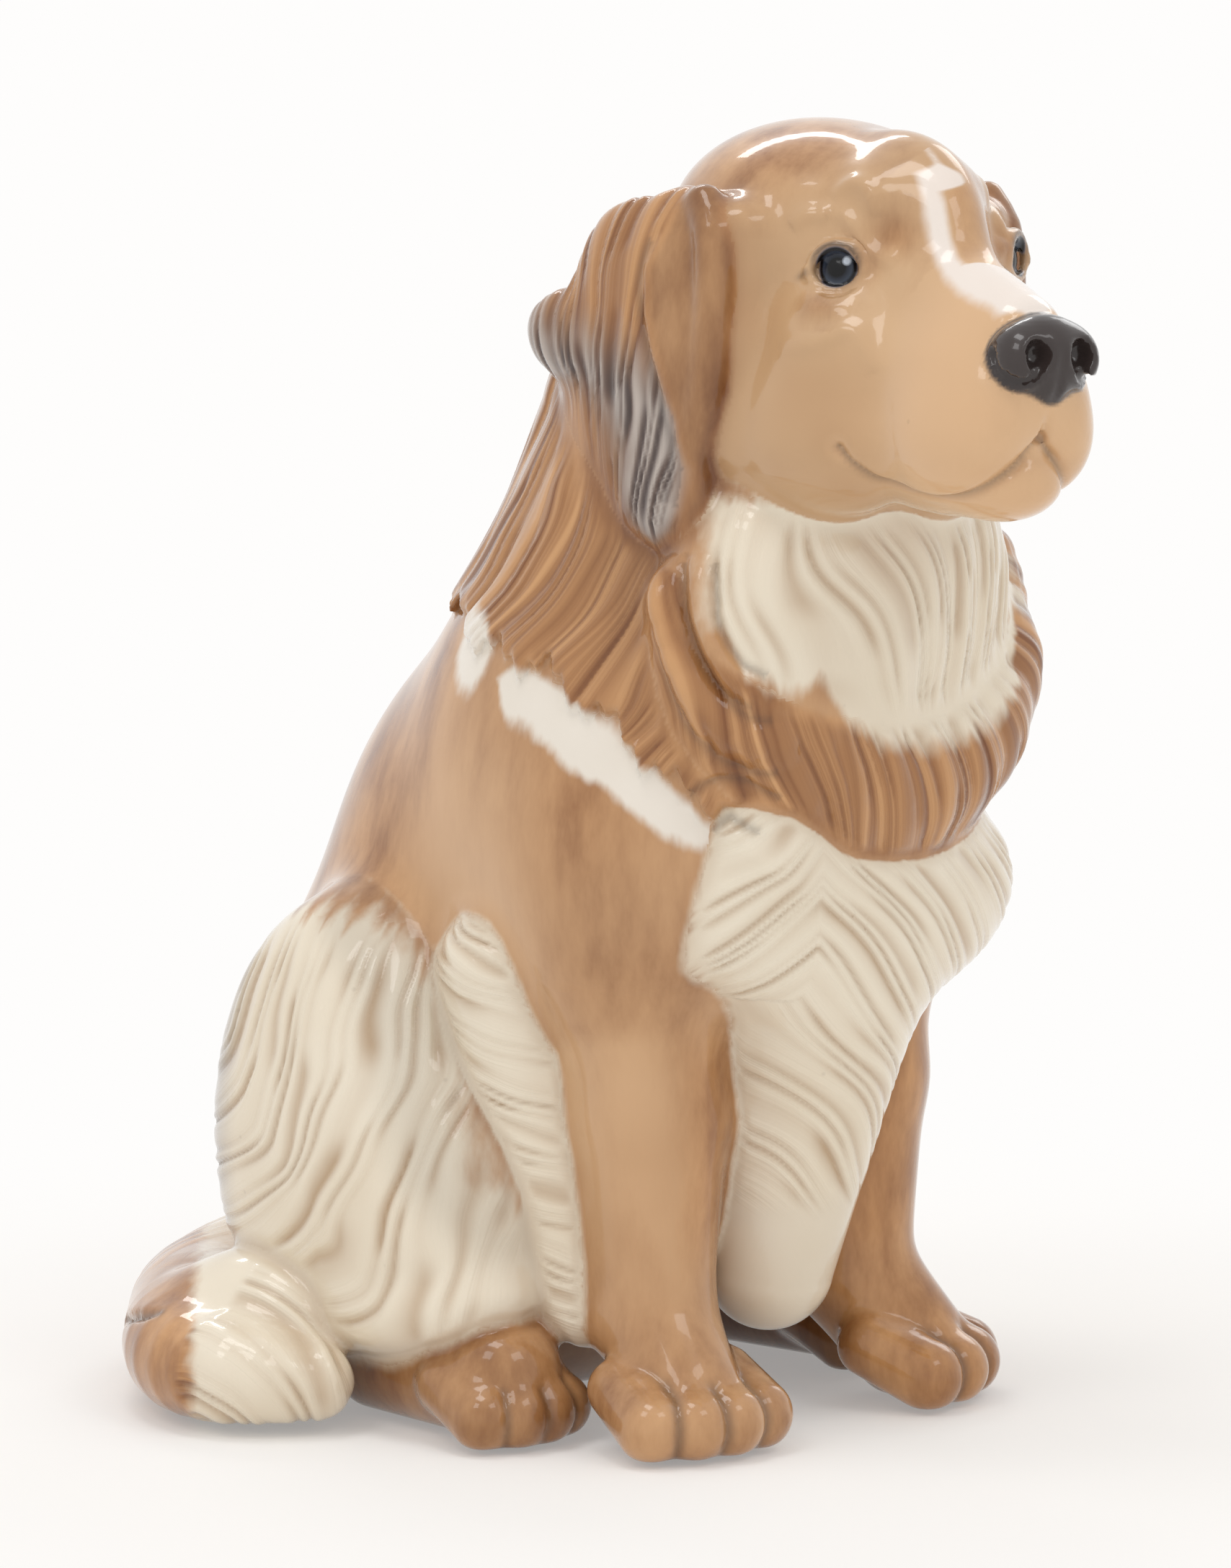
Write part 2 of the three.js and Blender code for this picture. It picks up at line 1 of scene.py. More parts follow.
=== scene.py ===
# %% [markdown]
# # A sitting dog in glazed porcelain
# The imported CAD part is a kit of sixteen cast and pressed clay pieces. This lesson dresses them as
# the fired figurine: one smooth glazed skin with combed fur, a modelled face and brushed underglaze
# colours. Every piece of the skin stands for one CAD node, and lies where that node lies.

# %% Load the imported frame
import json
import math

import bpy
import numpy as np
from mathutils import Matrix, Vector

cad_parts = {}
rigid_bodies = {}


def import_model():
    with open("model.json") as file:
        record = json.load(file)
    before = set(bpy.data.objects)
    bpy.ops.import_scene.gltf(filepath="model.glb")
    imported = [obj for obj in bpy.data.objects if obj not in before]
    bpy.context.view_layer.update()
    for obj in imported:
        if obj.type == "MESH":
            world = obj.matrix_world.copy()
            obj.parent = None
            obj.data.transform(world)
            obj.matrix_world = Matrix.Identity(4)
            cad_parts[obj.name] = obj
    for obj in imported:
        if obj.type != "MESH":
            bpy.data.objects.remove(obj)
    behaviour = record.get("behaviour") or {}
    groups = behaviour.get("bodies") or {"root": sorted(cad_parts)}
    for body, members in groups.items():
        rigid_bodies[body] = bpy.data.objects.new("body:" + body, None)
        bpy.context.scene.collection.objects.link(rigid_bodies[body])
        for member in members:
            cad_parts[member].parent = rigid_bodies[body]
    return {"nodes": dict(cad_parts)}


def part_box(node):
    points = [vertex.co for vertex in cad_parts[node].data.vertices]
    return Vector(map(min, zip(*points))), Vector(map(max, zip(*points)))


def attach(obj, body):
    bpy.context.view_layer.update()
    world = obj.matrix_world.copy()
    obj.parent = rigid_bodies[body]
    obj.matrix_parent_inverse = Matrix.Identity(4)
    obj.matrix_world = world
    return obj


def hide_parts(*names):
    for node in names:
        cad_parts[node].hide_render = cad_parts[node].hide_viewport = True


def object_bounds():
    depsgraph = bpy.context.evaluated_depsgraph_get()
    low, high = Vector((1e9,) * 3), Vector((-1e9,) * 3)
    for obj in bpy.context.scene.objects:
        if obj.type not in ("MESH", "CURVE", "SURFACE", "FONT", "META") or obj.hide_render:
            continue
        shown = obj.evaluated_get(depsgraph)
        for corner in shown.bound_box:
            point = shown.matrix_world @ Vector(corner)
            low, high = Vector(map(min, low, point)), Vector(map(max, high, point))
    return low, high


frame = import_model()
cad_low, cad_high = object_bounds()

import openvdb
from mathutils import Vector

MM = 0.001
SIDES = ((-1, "right"), (1, "left"))  # the sign of x on each side of the dog
scene = bpy.context.scene


def size_mm(low, high):
    return [round((b - a) / MM, 1) for a, b in zip(low, high)]


print("CAD nodes:", len(frame["nodes"]))
print("CAD box, mm:", size_mm(cad_low, cad_high))

# %% [markdown]
# ## The bench
# A modeller works on a bench with the dog's midline as zero. The bench is in millimetres, and the
# torso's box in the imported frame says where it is, so all later places follow the CAD.

# %% The bench's place in the frame
RUMP_BACK = 95.864  # how far the torso reaches behind the bench's zero
torso_low, torso_high = (np.array(corner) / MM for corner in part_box("torso"))
BENCH = np.array([(torso_low[0] + torso_high[0]) / 2, torso_high[1] - RUMP_BACK, 0.0])


def on_bench(corner):
    return np.array(corner) / MM - BENCH


def in_frame(point):
    return tuple(((np.array(point) + BENCH) * MM).tolist())


print("Bench zero in the frame, mm:", BENCH.round(2))

# %% [markdown]
# ## Clay as a field
# Soft forms that run into each other are hard to make from separate meshes, because every seam
# shows in a glossy glaze. A sculptor's answer is a field: each form gives the distance to its own
# surface, forms are joined with a fillet, and one skin is pulled over the whole at the end. NumPy
# works the fields out on a grid of small cells.

# %% Forms that the clay is built from
def ball(centre, size):
    cx, cy, cz = centre
    a, b, c = (each / 2 for each in size)

    def field(x, y, z):
        u, v, w = (x - cx) / a, (y - cy) / b, (z - cz) / c
        near = np.sqrt(u * u + v * v + w * w + 1e-6)
        slope = np.sqrt((u / a) ** 2 + (v / b) ** 2 + (w / c) ** 2 + 1e-6 / (a * a))
        return near * (near - 1) / slope

    return field


def limb(a, girth_a, b, girth_b):
    (ax, ay, az), (dx, dy, dz) = a, np.subtract(b, a).tolist()
    square = dx * dx + dy * dy + dz * dz

    def field(x, y, z):
        x, y, z = x - ax, y - ay, z - az
        t = np.clip((x * dx + y * dy + z * dz) / square, 0, 1)
        far = np.sqrt((x - t * dx) ** 2 + (y - t * dy) ** 2 + (z - t * dz) ** 2)
        return far - (girth_a + t * (girth_b - girth_a)) / 2

    return field


def press(blend, *fields):
    def field(x, y, z):
        far = [each(x, y, z) for each in fields]
        least = np.minimum.reduce(far)
        total = sum(np.exp((least - each) * (4 / blend)) for each in far)
        return least - np.log(total) * (blend / 4)

    return field


def join(a, b, fillet):
    overlap = np.clip(fillet - np.abs(a - b), 0, None)
    return np.minimum(a, b) - overlap * overlap * (0.25 / fillet)


def joined(fillet, *fields):
    def field(x, y, z):
        far = fields[0](x, y, z)
        for each in fields[1:]:
            far = join(far, each(x, y, z), fillet)
        return far

    return field


marble = ball((0, 0, 0), (20, 20, 20))
print("From a 20 mm marble, 15 mm off its middle, mm:", round(float(marble(15, 0, 0)), 2))

# %% A smooth line through points, and a rope of clay along it
def line_through(points, count):
    points = np.array(points, float)
    ends = (2 * points[:1] - points[1:2], points, 2 * points[-1:] - points[-2:-1])
    p = np.concatenate(ends)
    t = np.linspace(0, 1, 33)[:, None]
    runs = []
    for i in range(len(points) - 1):
        p0, p1, p2, p3 = p[i : i + 4]
        d0, d1, d2 = (math.sqrt(np.linalg.norm(b - a)) for a, b in ((p0, p1), (p1, p2), (p2, p3)))
        m1 = ((p1 - p0) / d0 - (p2 - p0) / (d0 + d1) + (p2 - p1) / d1) * d1
        m2 = ((p2 - p1) / d1 - (p3 - p1) / (d1 + d2) + (p3 - p2) / d2) * d1
        c2, c3 = -3 * p1 + 3 * p2 - 2 * m1 - m2, 2 * p1 - 2 * p2 + m1 + m2
        runs.append((p1 + m1 * t + c2 * t**2 + c3 * t**3)[0 if i == 0 else 1 :])
    path = np.concatenate(runs)
    far = np.concatenate([[0], np.cumsum(np.linalg.norm(np.diff(path, axis=0), axis=1))])
    at = np.linspace(0, far[-1], count)
    return np.stack([np.interp(at, far, path[:, k]) for k in range(3)], axis=1)


def rope(points, girth, steps=12):
    path = line_through(points, steps + 1)
    wide = girth if callable(girth) else (lambda s: girth)
    links = [
        limb(path[i], wide(i / steps), path[i + 1], wide((i + 1) / steps)) for i in range(steps)
    ]
    return lambda x, y, z: np.minimum.reduce([link(x, y, z) for link in links])


print("Forms: ball, limb, rope, press and join")

# %% [markdown]
# ## The head's own frame
# The dog looks to its right with a slight tilt. The face is modelled in a frame that turns with the
# head, x to the dog's left, y to the back and z up, so what is even on it can be mirrored.

# %% Turn between the bench and the head
HEAD_AT = np.array([0.0, -17.7, 184.0])
HEAD_TURN, HEAD_TILT = math.radians(-13), math.radians(3.5)
cz, sz, cy, sy = (
    math.cos(HEAD_TURN), math.sin(HEAD_TURN), math.cos(HEAD_TILT), math.sin(HEAD_TILT)
)
HEAD_AXES = np.array([[cz * cy, -sz, cz * sy], [sz * cy, cz, sz * sy], [-sy, 0, cy]])


def head_point(x, y, z):
    return HEAD_AT + HEAD_AXES @ np.array([x, y, z])


def to_head(x, y, z):
    dx, dy, dz = x - HEAD_AT[0], y - HEAD_AT[1], z - HEAD_AT[2]
    return [HEAD_AXES[0, k] * dx + HEAD_AXES[1, k] * dy + HEAD_AXES[2, k] * dz for k in range(3)]


def on_head(field):
    return lambda x, y, z: field(*to_head(x, y, z))


print("The tip of the nose lies at, mm:", head_point(0, -55, -10).round(1))

# %% [markdown]
# ## The big forms
# These are the same lumps that the CAD solids are made of: the torso from rump to neck, the head,
# the ears, four legs, the tail and the feathered tufts. The skin of the mane stands a little proud
# of the back, with a ragged lower edge of hair tips. A little slip fills the slot behind each ear's
# front edge, and the left brow is fuller, because the left eye shows past the bridge of the nose.

# %% Torso, with the mane standing proud of it
MANE_PROUD = 1.5
MANE_EDGE_Y = [-14, -3, 12, 36, 60]
MANE_EDGE_Z = [101, 111, 118.5, 123, 127]


def wobble(x, y, z, size, seed=0):
    wave = 0
    for k in range(4):
        a, b = 1.7 * k + 2.3 * seed, 2.9 * k + 1.1 * seed
        way = (math.cos(a) * math.cos(b), math.sin(a) * math.cos(b), math.sin(b))
        turn = 2 * math.pi / (size * (0.7 + 0.22 * k))
        wave = wave + np.sin((x * way[0] + y * way[1] + z * way[2]) * turn + 1.3 * k + seed)
    return wave / 4


def over_mane_edge(x, y, z):
    edge = np.interp(y, MANE_EDGE_Y, MANE_EDGE_Z)
    along = (y + 0.35 * np.abs(x)) / 12
    tips = 4 * (np.abs((along % 1) - 0.5) * 2 - 0.5)
    wisps = 2 * (np.abs((3.4 * along % 1) - 0.5) * 2 - 0.5) + wobble(x, y, z, 17, 3)
    return z - edge - tips - wisps


def step(value, low, high):
    t = np.clip((value - low) / (high - low), 0, 1)
    return t * t * (3 - 2 * t)


def twins(at, size):
    x, y, z = at
    return [ball((hand * x, y, z), size) for hand in (1, -1)]


bare_torso = press(
    16,
    ball((0, 54, 42), (80, 84, 92)),
    ball((0, 42, 72), (68, 80, 96)),
    ball((0, 18, 96), (76, 84, 84)),
    *twins((26, 6, 86), (28, 36, 56)),
    limb((0, 18, 112), 66, (0, 7.5, 151), 55),
)


def torso(x, y, z):
    return bare_torso(x, y, z) - MANE_PROUD * step(over_mane_edge(x, y, z), -1, 1)


print("The mane stands proud by, mm:", MANE_PROUD)

# %% Head with its flews and lower jaw
skull = press(
    7,
    ball((0, 7.6, -0.7), (45, 52.6, 34)),
    ball((0, -11.7, 0), (19, 35, 32.6)),
    *twins((8, -10, -18), (26, 36, 32)),
    ball((0, -29.5, -18), (25, 45, 26)),
    *twins((5.4, -38, -22.5), (14, 27, 20)),
    *twins((6, -14, 7), (9, 12, 8.7)),
    limb((0, -14, -5), 20, (0, -43, -10), 12),
    ball((0, 0, -24), (38, 40, 30)),
)
jowls = joined(5, *twins((9.5, -6, -28.5), (28, 46, 26)))
flews = joined(3, *twins((7.2, -35.5, -26), (13.8, 28, 19)))
jaw = joined(4, ball((0, -27, -32), (21, 46, 13.5)), ball((0, -42, -30.8), (15.5, 16, 12.4)))
slips = [
    limb((hand * 21.5, -1, -15), 8, (hand * x, y, z), 8)
    for hand in (-1, 1)
    for x, y, z in ((21.5, -1, 1), (20, -1.5, -31))
]
left_brow = ball((11.6, -13.6, -3), (12, 16, 15))
face = joined(1.2, joined(5, joined(3, skull, flews), jowls), jaw)
head = on_head(joined(4, face, left_brow, *slips))
print("Slips behind the ears:", len(slips))

# %% Ears: a flap of lobes, with a rolled fold along the front edge
EAR_LOBES = [  # middle, width and height
    (25, 7, -1.5, 16, 16),
    (26.8, 13, -7, 29, 22),
    (28, 13.5, -19, 34, 36),
    (29, 27, -18, 19, 13),
    (27, 14, -31, 27, 24),
    (27, 8, -39.5, 18, 15.5),
]
EAR_FOLD = [
    (26, 3, 4.5), (27.4, -0.8, 0), (28, -2.6, -13), (28, -2.2, -23), (27.8, 0.4, -31), (27.2, 3.4, -43)
]
EAR_SPLAY = 0.12  # the ear leans out by this share of its depth


def ear(hand):
    flap = press(4, *(ball((hand * x, y, z), (9, w, h)) for x, y, z, w, h in EAR_LOBES))
    roll = rope([(hand * x, y, z) for x, y, z in EAR_FOLD], lambda s: 5.4 - 1.2 * s, 18)
    leaf = joined(1.5, flap, roll)
    return on_head(lambda x, y, z: leaf(x - hand * EAR_SPLAY * (y - 7), y, z))


print("Lobes of an ear:", len(EAR_LOBES))

# %% Legs and feet, with four separate toes on each
def toes(root, way, reach, girth, spread):
    ahead = np.array([way[0], way[1], 0.0])
    beside = np.array([ahead[1], -ahead[0], 0.0])
    made = []
    for place in (-1.5, -0.5, 0.5, 1.5):
        tip = root + ahead * (reach - abs(place) * 2.2) + beside * place * spread
        tip[2] = girth / 2
        knuckle = tip - ahead * girth * 0.85
        knuckle[2] = girth * 0.86
        made.append(limb(knuckle, girth * 0.86, tip, girth * 0.98))
    return made


def out_way(hand, degrees):
    return hand * math.sin(math.radians(degrees)), -math.cos(math.radians(degrees))


def foreleg(hand):
    way = out_way(hand, 15 if hand < 0 else 26)
    ankle = np.array([hand * 22, 3.5, 0.0])
    ball_of_paw = (ankle[0] + 9 * way[0], ankle[1] + 9 * way[1], 9)
    elbow, knee, pastern = (hand * 24, 5.5, 84), (hand * 22, 3.5, 50), (hand * 22, 3.5, 20)
    leg = press(
        4,
        limb(elbow, 26, knee, 23),
        limb(knee, 23, pastern, 18.4),
        limb(pastern, 18.4, ball_of_paw, 18),
    )
    return leg, toes(ankle, way, 18.6, 11.2, 6.2)


def hind_foot(hand):
    way = out_way(hand, 6)
    heel = np.array([hand * 36, 46.0, 9.5])
    ball_of_paw = (heel[0] + 27 * way[0], heel[1] + 27 * way[1], 9.5)
    return limb(heel, 19, ball_of_paw, 19), toes(heel, way, 35.1, 10.4, 4.9)


def with_toes(limb_of):
    def made(hand):
        leg, toe = limb_of(hand)
        return joined(2.2, leg, *toe)

    return made


def haunch(hand):
    thigh = press(12, ball((hand * 36, 52, 42), (34, 52, 76)), ball((hand * 37, 34, 30), (28, 36, 52)))
    skirt = [(hand * 39, 18.5, 22), (hand * 46, 24, 20), (hand * 48.5, 34, 18), (hand * 46.5, 44, 17)]
    return joined(5, thigh, rope(skirt, 7))


print("Toes on a paw:", len(foreleg(1)[1]))

# %% Tail and tufts
TAIL_LINE = [
    (0, 84, 17), (-14, 95, 12), (-30, 92, 10), (-46, 79, 10), (-60, 65, 9.5), (-63, 52, 9), (-55, 43, 8)
]
tail_rope = rope(TAIL_LINE, lambda s: 18 + 4 * s if s < 0.5 else 20 - 8 * (2 * s - 1) ** 2, 24)
tail = joined(5, tail_rope, ball((-50, 60, 15), (20, 30, 20)))
bib = joined(8, ball((0, -15, 128), (62, 34, 46)), ball((0, -12.5, 139), (55, 34, 34)))
RUFF_LINE = [(-28, -10, 130), (-21.6, -15.4, 112.6), (4, -19, 101), (29.6, -15.4, 112.6), (36, -10, 130)]
ruff = rope(RUFF_LINE, lambda s: 10 + 15 * math.sin(math.pi * s), 24)
breast = press(10, ball((4, -12, 82), (66, 32, 36)), limb((0, -10, 70), 32, (0, 0, 24), 20))
feather = joined(5, breast, limb((-19, -15.5, 92), 20, (-27.5, -8.5, 77.5), 7))


def fringe(hand):
    return limb((hand * 34, 24, 72), 17, (hand * 27, 13, 20), 12)


def both(name, made, fillet):
    return {f"{side}_{name}": (made(hand), fillet) for hand, side in SIDES}


# Each node's form, and the fillet where it joins what is there
FORMS = {
    "torso": (torso, 1),
    "head": (head, 4),
    **both("foreleg", with_toes(foreleg), 5),
    **both("haunch", haunch, 8),
    **both("hind_foot", with_toes(hind_foot), 2),
    "tail": (tail, 3),
    "throat_bib": (bib, 4),
    "neck_ruff": (ruff, 8),
    "chest_feather": (feather, 4.5),
    **both("leg_fringe", fringe, 5),
    **both("ear", ear, 4),
}
assert set(FORMS) == set(frame["nodes"])
print("Forms:", len(FORMS))

# %% [markdown]
# ## Pressing the forms together
# Each form is worked out only in a window of the grid round its CAD node. Forms join with a fillet,
# as wet clay does under a thumb.

# %% The grid, and joining the forms into it
CELL, FAR, MARGIN = 0.55, 6.0, 4
grid_low = on_bench(cad_low) - MARGIN
counts = np.ceil((on_bench(cad_high) + MARGIN - grid_low) / CELL).astype(int)
clay = np.full(counts, FAR, np.float32)


def around(points, margin):
    points = np.array(points)
    return points.min(axis=0) - margin, points.max(axis=0) + margin


def window(low, high):
    first = np.clip(((low - grid_low) / CELL).astype(int), 0, counts - 1)
    last = np.clip(((high - grid_low) / CELL).astype(int) + 1, 1, counts)
    part = tuple(slice(a, b) for a, b in zip(first, last))
    x, y, z = (
        (grid_low[k] + CELL * np.arange(first[k], last[k])).astype(np.float32) for k in range(3)
    )
    return part, (x[:, None, None], y[None, :, None], z[None, None, :])


def add(field, low, high, fillet):
    part, at = window(low, high)
    clay[part] = join(clay[part], field(*at), fillet)


def carve(field, low, high, fillet):
    part, at = window(low, high)
    clay[part] = -join(-clay[part], field(*at), fillet)


WINDOWS = {name: [on_bench(c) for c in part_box(name)] for name in FORMS}
for name, (form, fillet) in FORMS.items():
    add(form, *around(WINDOWS[name], FAR), fillet)
print("Grid cells:", counts, "of", CELL, "mm")

# %% [markdown]
# ## The face
# The eyes are balls set in sockets with a rolled lid above and below, a fold over the brow and a
# small pouch under the lid. The nose is a pad with two wings, round nostrils that run out into
# slits, and a groove down to the lip. Nose and mouth mirror each other in the head's frame. The
# left eye stands further out, forward and up than the right one, where it shows past the bridge.

# %% Places on the face
EYE_AT = {-1: np.array([13.8, -15.6, -3.2]), 1: np.array([16, -18.2, -1.6])}
EYE_WAY = {-1: np.array([0.75, -0.56, 0.26]), 1: np.array([0.6, -0.76, 0.22])}


def eye_frame(hand):
    side = np.array([hand, 1, 1])
    out = EYE_WAY[hand] * side / np.linalg.norm(EYE_WAY[hand])
    up = np.array([0, 0, 1.0]) - out * out[2]
    up /= np.linalg.norm(up)
    ahead = np.cross(up, out) * hand
    return EYE_AT[hand] * side, ahead, up, out


def eye_point(hand, ahead_by, up_by, out_by=0.0):
    at, ahead, up, out = eye_frame(hand)
    return head_point(*(at + ahead * ahead_by + up * up_by + out * out_by))


def add_rope(points, girth, fillet, steps=10, cut=False):
    (carve if cut else add)(rope(points, girth, steps), *around(points, 8), fillet)


print("Right eye at, mm:", eye_point(-1, 0, 0).round(1), "left:", eye_point(1, 0, 0).round(1))

# %% Eyes, lids and folds
UPPER_LID = [(4.5, -1.1), (3.4, 1.3), (1.1, 3.0), (-1.6, 2.9), (-3.5, 1.5), (-4.3, -0.2)]
LOWER_LID = [(4.5, -1.1), (3.0, -2.7), (0.3, -3.5), (-2.6, -2.8), (-4.3, -0.2)]
for hand in (-1, 1):
    socket = eye_point(hand, 0, 0, 2.0)
    carve(ball(socket, (9.4, 9.4, 9.4)), *around([socket], 9), 0.8)
    globe = eye_point(hand, 0, 0, -4.3)
    add(ball(globe, (9.2, 9.2, 9.2)), *around([globe], 9), 0.3)
    upper = [eye_point(hand, a, b, 0.4) for a, b in UPPER_LID]
    add_rope(upper, lambda s: 1.3 + 0.9 * math.sin(math.pi * s), 0.8)
    add_rope([eye_point(hand, a, b, 0.0) for a, b in LOWER_LID], 1.4, 0.8)
print("Eyes, mm apart:", round(float(np.linalg.norm(eye_point(1, 0, 0) - eye_point(-1, 0, 0))), 1))

# %% Nose
nose_box = around([head_point(0, -50, -13)], 16)
pad = joined(
    1.6,
    ball((0, -49.6, -12.1), (14.8, 11, 11.4)),
    *twins((4.6, -49.8, -13.1), (8.2, 10.5, 9.6)),
    ball((0, -50.2, -16.4), (7.5, 8, 7)),
)
add(on_head(pad), *nose_box, 0.5)
NOSTRIL_SLIT = [
    (3.2, -54.0, -12.9), (4.4, -53.8, -15.2), (6.6, -52.4, -16), (8.0, -50.2, -14.5), (8.2, -48.6, -12.3)
]
for hand in (-1, 1):
    carve(on_head(ball((hand * 3.9, -55.4, -12), (4.4, 8.5, 5.2))), *nose_box, 0.6)
    add_rope([head_point(hand * x, y, z) for x, y, z in NOSTRIL_SLIT], 2.0, 0.4, cut=True)
groove = [(0, -55.6, -11), (0, -55.2, -14.6), (0, -53.8, -18.5), (0, -52.2, -22), (0, -50.4, -25)]
add_rope([head_point(*p) for p in groove], 1.3, 0.6, cut=True)
print("Points in a nostril slit:", len(NOSTRIL_SLIT))

# %% [markdown]
# ## The foot of the figurine
# It stands on a flat foot with a rounded edge, wiped bare of glaze, and a vent under the rump lets
# the air out of the hollow body in the kiln, at the place of the vent in the CAD solid.

# %% Flat foot and kiln vent
part, (x, y, z) = window(grid_low, np.array([500.0, 500.0, 8.0]))
clay[part] = -join(-clay[part], z + 0 * x + 0 * y, 1.6)
VENT_AT, VENT = (0.0, 54.0), 11
vent = limb((*VENT_AT, -6), VENT, (*VENT_AT, 6), VENT)
carve(vent, np.array([-9, 44, -4]), np.array([9, 64, 14]), 0.8)
print("Vent, mm across:", VENT)

# %% [markdown]
# ## One skin
# OpenVDB, which comes with Blender, pulls a skin of small quads over the clay. One skin over all
# pieces has no seams to show in the glaze; it is cut into the CAD's pieces only at the end.

# %% The skin's points and quads
volume = openvdb.FloatGrid(FAR)
volume.copyFromArray(np.ascontiguousarray(np.clip(clay, -FAR, FAR)))
volume.transform = openvdb.createLinearTransform(voxelSize=CELL)
skin, quads = volume.convertToQuads()
skin = np.asarray(skin, np.float64) + grid_low
quads = np.asarray(quads, np.int64)
del volume


def facing(points):
    a, b, c, d = (points[quads[:, k]] for k in range(4))
    across = np.cross(c - a, d - b)
    total = np.empty_like(points)
    for k in range(3):
        total[:, k] = sum(
            np.bincount(quads[:, j], weights=across[:, k], minlength=len(points)) for j in range(4)
        )
    return total / np.maximum(np.linalg.norm(total, axis=1, keepdims=True), 1e-12)


up_there = facing(skin)[np.argmax(skin[:, 2])]
if up_there[2] < 0:
    quads = quads[:, ::-1].copy()
normals = facing(skin)
print("Skin points:", len(skin), "quads:", len(quads))

# %% [markdown]
# ## Which piece each point belongs to
# The distance from every point of the skin to every form says which piece it lies on, and how far
# inside it. Fur and colour fade at a piece's edge by that depth, so nothing stops at a hard line.

# %% Distances from the skin to the forms
NAMES = list(FORMS)
COLUMN = {name: k for k, name in enumerate(NAMES)}


def in_box(points, low, high):
    return np.flatnonzero(np.all((points > low) & (points < high), axis=1))


def distances(points):
    table = np.full((len(points), len(NAMES)), 40.0, np.float32)
    for name, (form, _) in FORMS.items():
        near = in_box(points, *around(WINDOWS[name], 8))
        x, y, z = points[near].T
        table[near, COLUMN[name]] = form(x, y, z)
    return table


to_form = distances(skin)
nearest = np.argmin(to_form, axis=1)


def inside(*names):
    mine = [COLUMN[name] for name in names]
    others = [k for k in range(len(NAMES)) if k not in mine]
    return (to_form[:, others].min(axis=1) - to_form[:, mine].min(axis=1)) / 2


X, Y, Z = skin.T
HX, HY, HZ = to_head(X, Y, Z)
for name in NAMES:
    print(name, "points:", int((nearest == COLUMN[name]).sum()))

# %% [markdown]
# ## Combing the fur
# Modelled fur is a set of soft ridges with sharp grooves between them. A comb is a value that grows
# across the strands, counted in strands: its fraction says where a point lies between two grooves.
# The ridges are pressed into the mesh, and the same value is kept for the glaze's colour to collect
# in the grooves, where it is partly painted shade.

# %% The comb
comb = np.zeros(len(skin))
fur = np.zeros(len(skin))
pool_and_shade = np.zeros(len(skin))
lift = np.zeros(len(skin))


def chance(number, seed):
    return np.mod(np.abs(np.sin(number * 12.9898 + seed) * 437.5453), 1.0)


def strands(mask, across, pitch, depth, along=None):
    along = Z if along is None else along
    even = across / pitch
    count = even + 0.27 * np.sin(2.1 * even + 0.06 * along) + 0.2 * np.sin(0.83 * even - 0.09 * along)
    groove = np.round(count)
    ridge = np.sqrt(np.sin(math.pi * count) ** 2 + 0.03) / 1.015
    stroke = np.sin(along * (0.16 + 0.12 * chance(groove, 1.0)) + 6.28 * chance(groove, 2.0))
    firm = (0.55 + 0.45 * chance(groove, 3.0)) * (0.25 + 0.75 * step(stroke, -0.8, 0.2))
    lift[:] += mask * depth * (0.3 - firm * (1 - ridge))
    mine = mask > fur
    comb[mine] = count[mine]
    fur[mine] = mask[mine]
    # the grooves hold collected colour and painted shade
    pool_and_shade[mine] = (mask * firm * (1 - ridge))[mine]


def rolls(mask, flow, width, height):
    lift[:] += mask * height * (np.abs(np.sin(math.pi * flow / width)) - 0.6)


def fade(depth, width):
    return step(depth, 0.0, width)


wave = wobble(X, Y, Z, 34, 1)
wave_fine = wobble(X, Y, Z, 12, 2)

FRINGES = ["right_leg_fringe", "left_leg_fringe"]
HAUNCHES = ["right_haunch", "left_haunch"]
print("Combs start bare, points:", len(comb))

# %% Mane, bib and ruff
arc = 33 * np.arctan2(np.abs(X), Y - 10)
mane = fade(inside("torso"), 2.0) * step(over_mane_edge(X, Y, Z), -1, 3)
flow = arc - 0.5 * Z + 3.0 * wave + 0.5 * wave_fine
rolls(mane, flow, 11, 0.7)
strands(mane, flow, 2.7, 0.62)

bib_arc = 27 * np.arctan2(X, -(Y + 5))
sway = 0.42 * (150 - Z) * np.exp(-(((X + 4) / 17) ** 2))
bib_fur = fade(inside("throat_bib"), 3.0) * (1 - step(Z, 143, 147) * step(-X, 19, 23))
flow = bib_arc - sway + 2.5 * wave
rolls(bib_fur, flow, 11, 0.9)
strands(bib_fur, flow, 2.9, 0.8)

ruff_fur = fade(inside("neck_ruff"), 1.5)
flow = bib_arc + 0.28 * (Z - 105) + 2.0 * wave
rolls(ruff_fur, flow, 9.6, 0.8)
strands(ruff_fur, flow, 2.8, 0.75)
print("Combed so far:", int((fur > 0.3).sum()))

# %% Chest feather and leg fringes
feather_fur = fade(inside("chest_feather"), 1.5) * step(Z, 33, 40)
LEAF_RIB = -15.5
leaf_part = (X < LEAF_RIB) & (Z > 70)
chevron = 0.72 * (Z + np.where(leaf_part, LEAF_RIB - X, X - LEAF_RIB)) + 1.5 * wave
strands(feather_fur, chevron, 2.3, 0.65, along=X)

slope = Z - 0.3 * Y + 0.5 * wave_fine
for name in FRINGES:
    strands(fade(inside(name), 1.2), slope, 2.7, 0.75, along=Y)
print("Combed so far:", int((fur > 0.3).sum()))

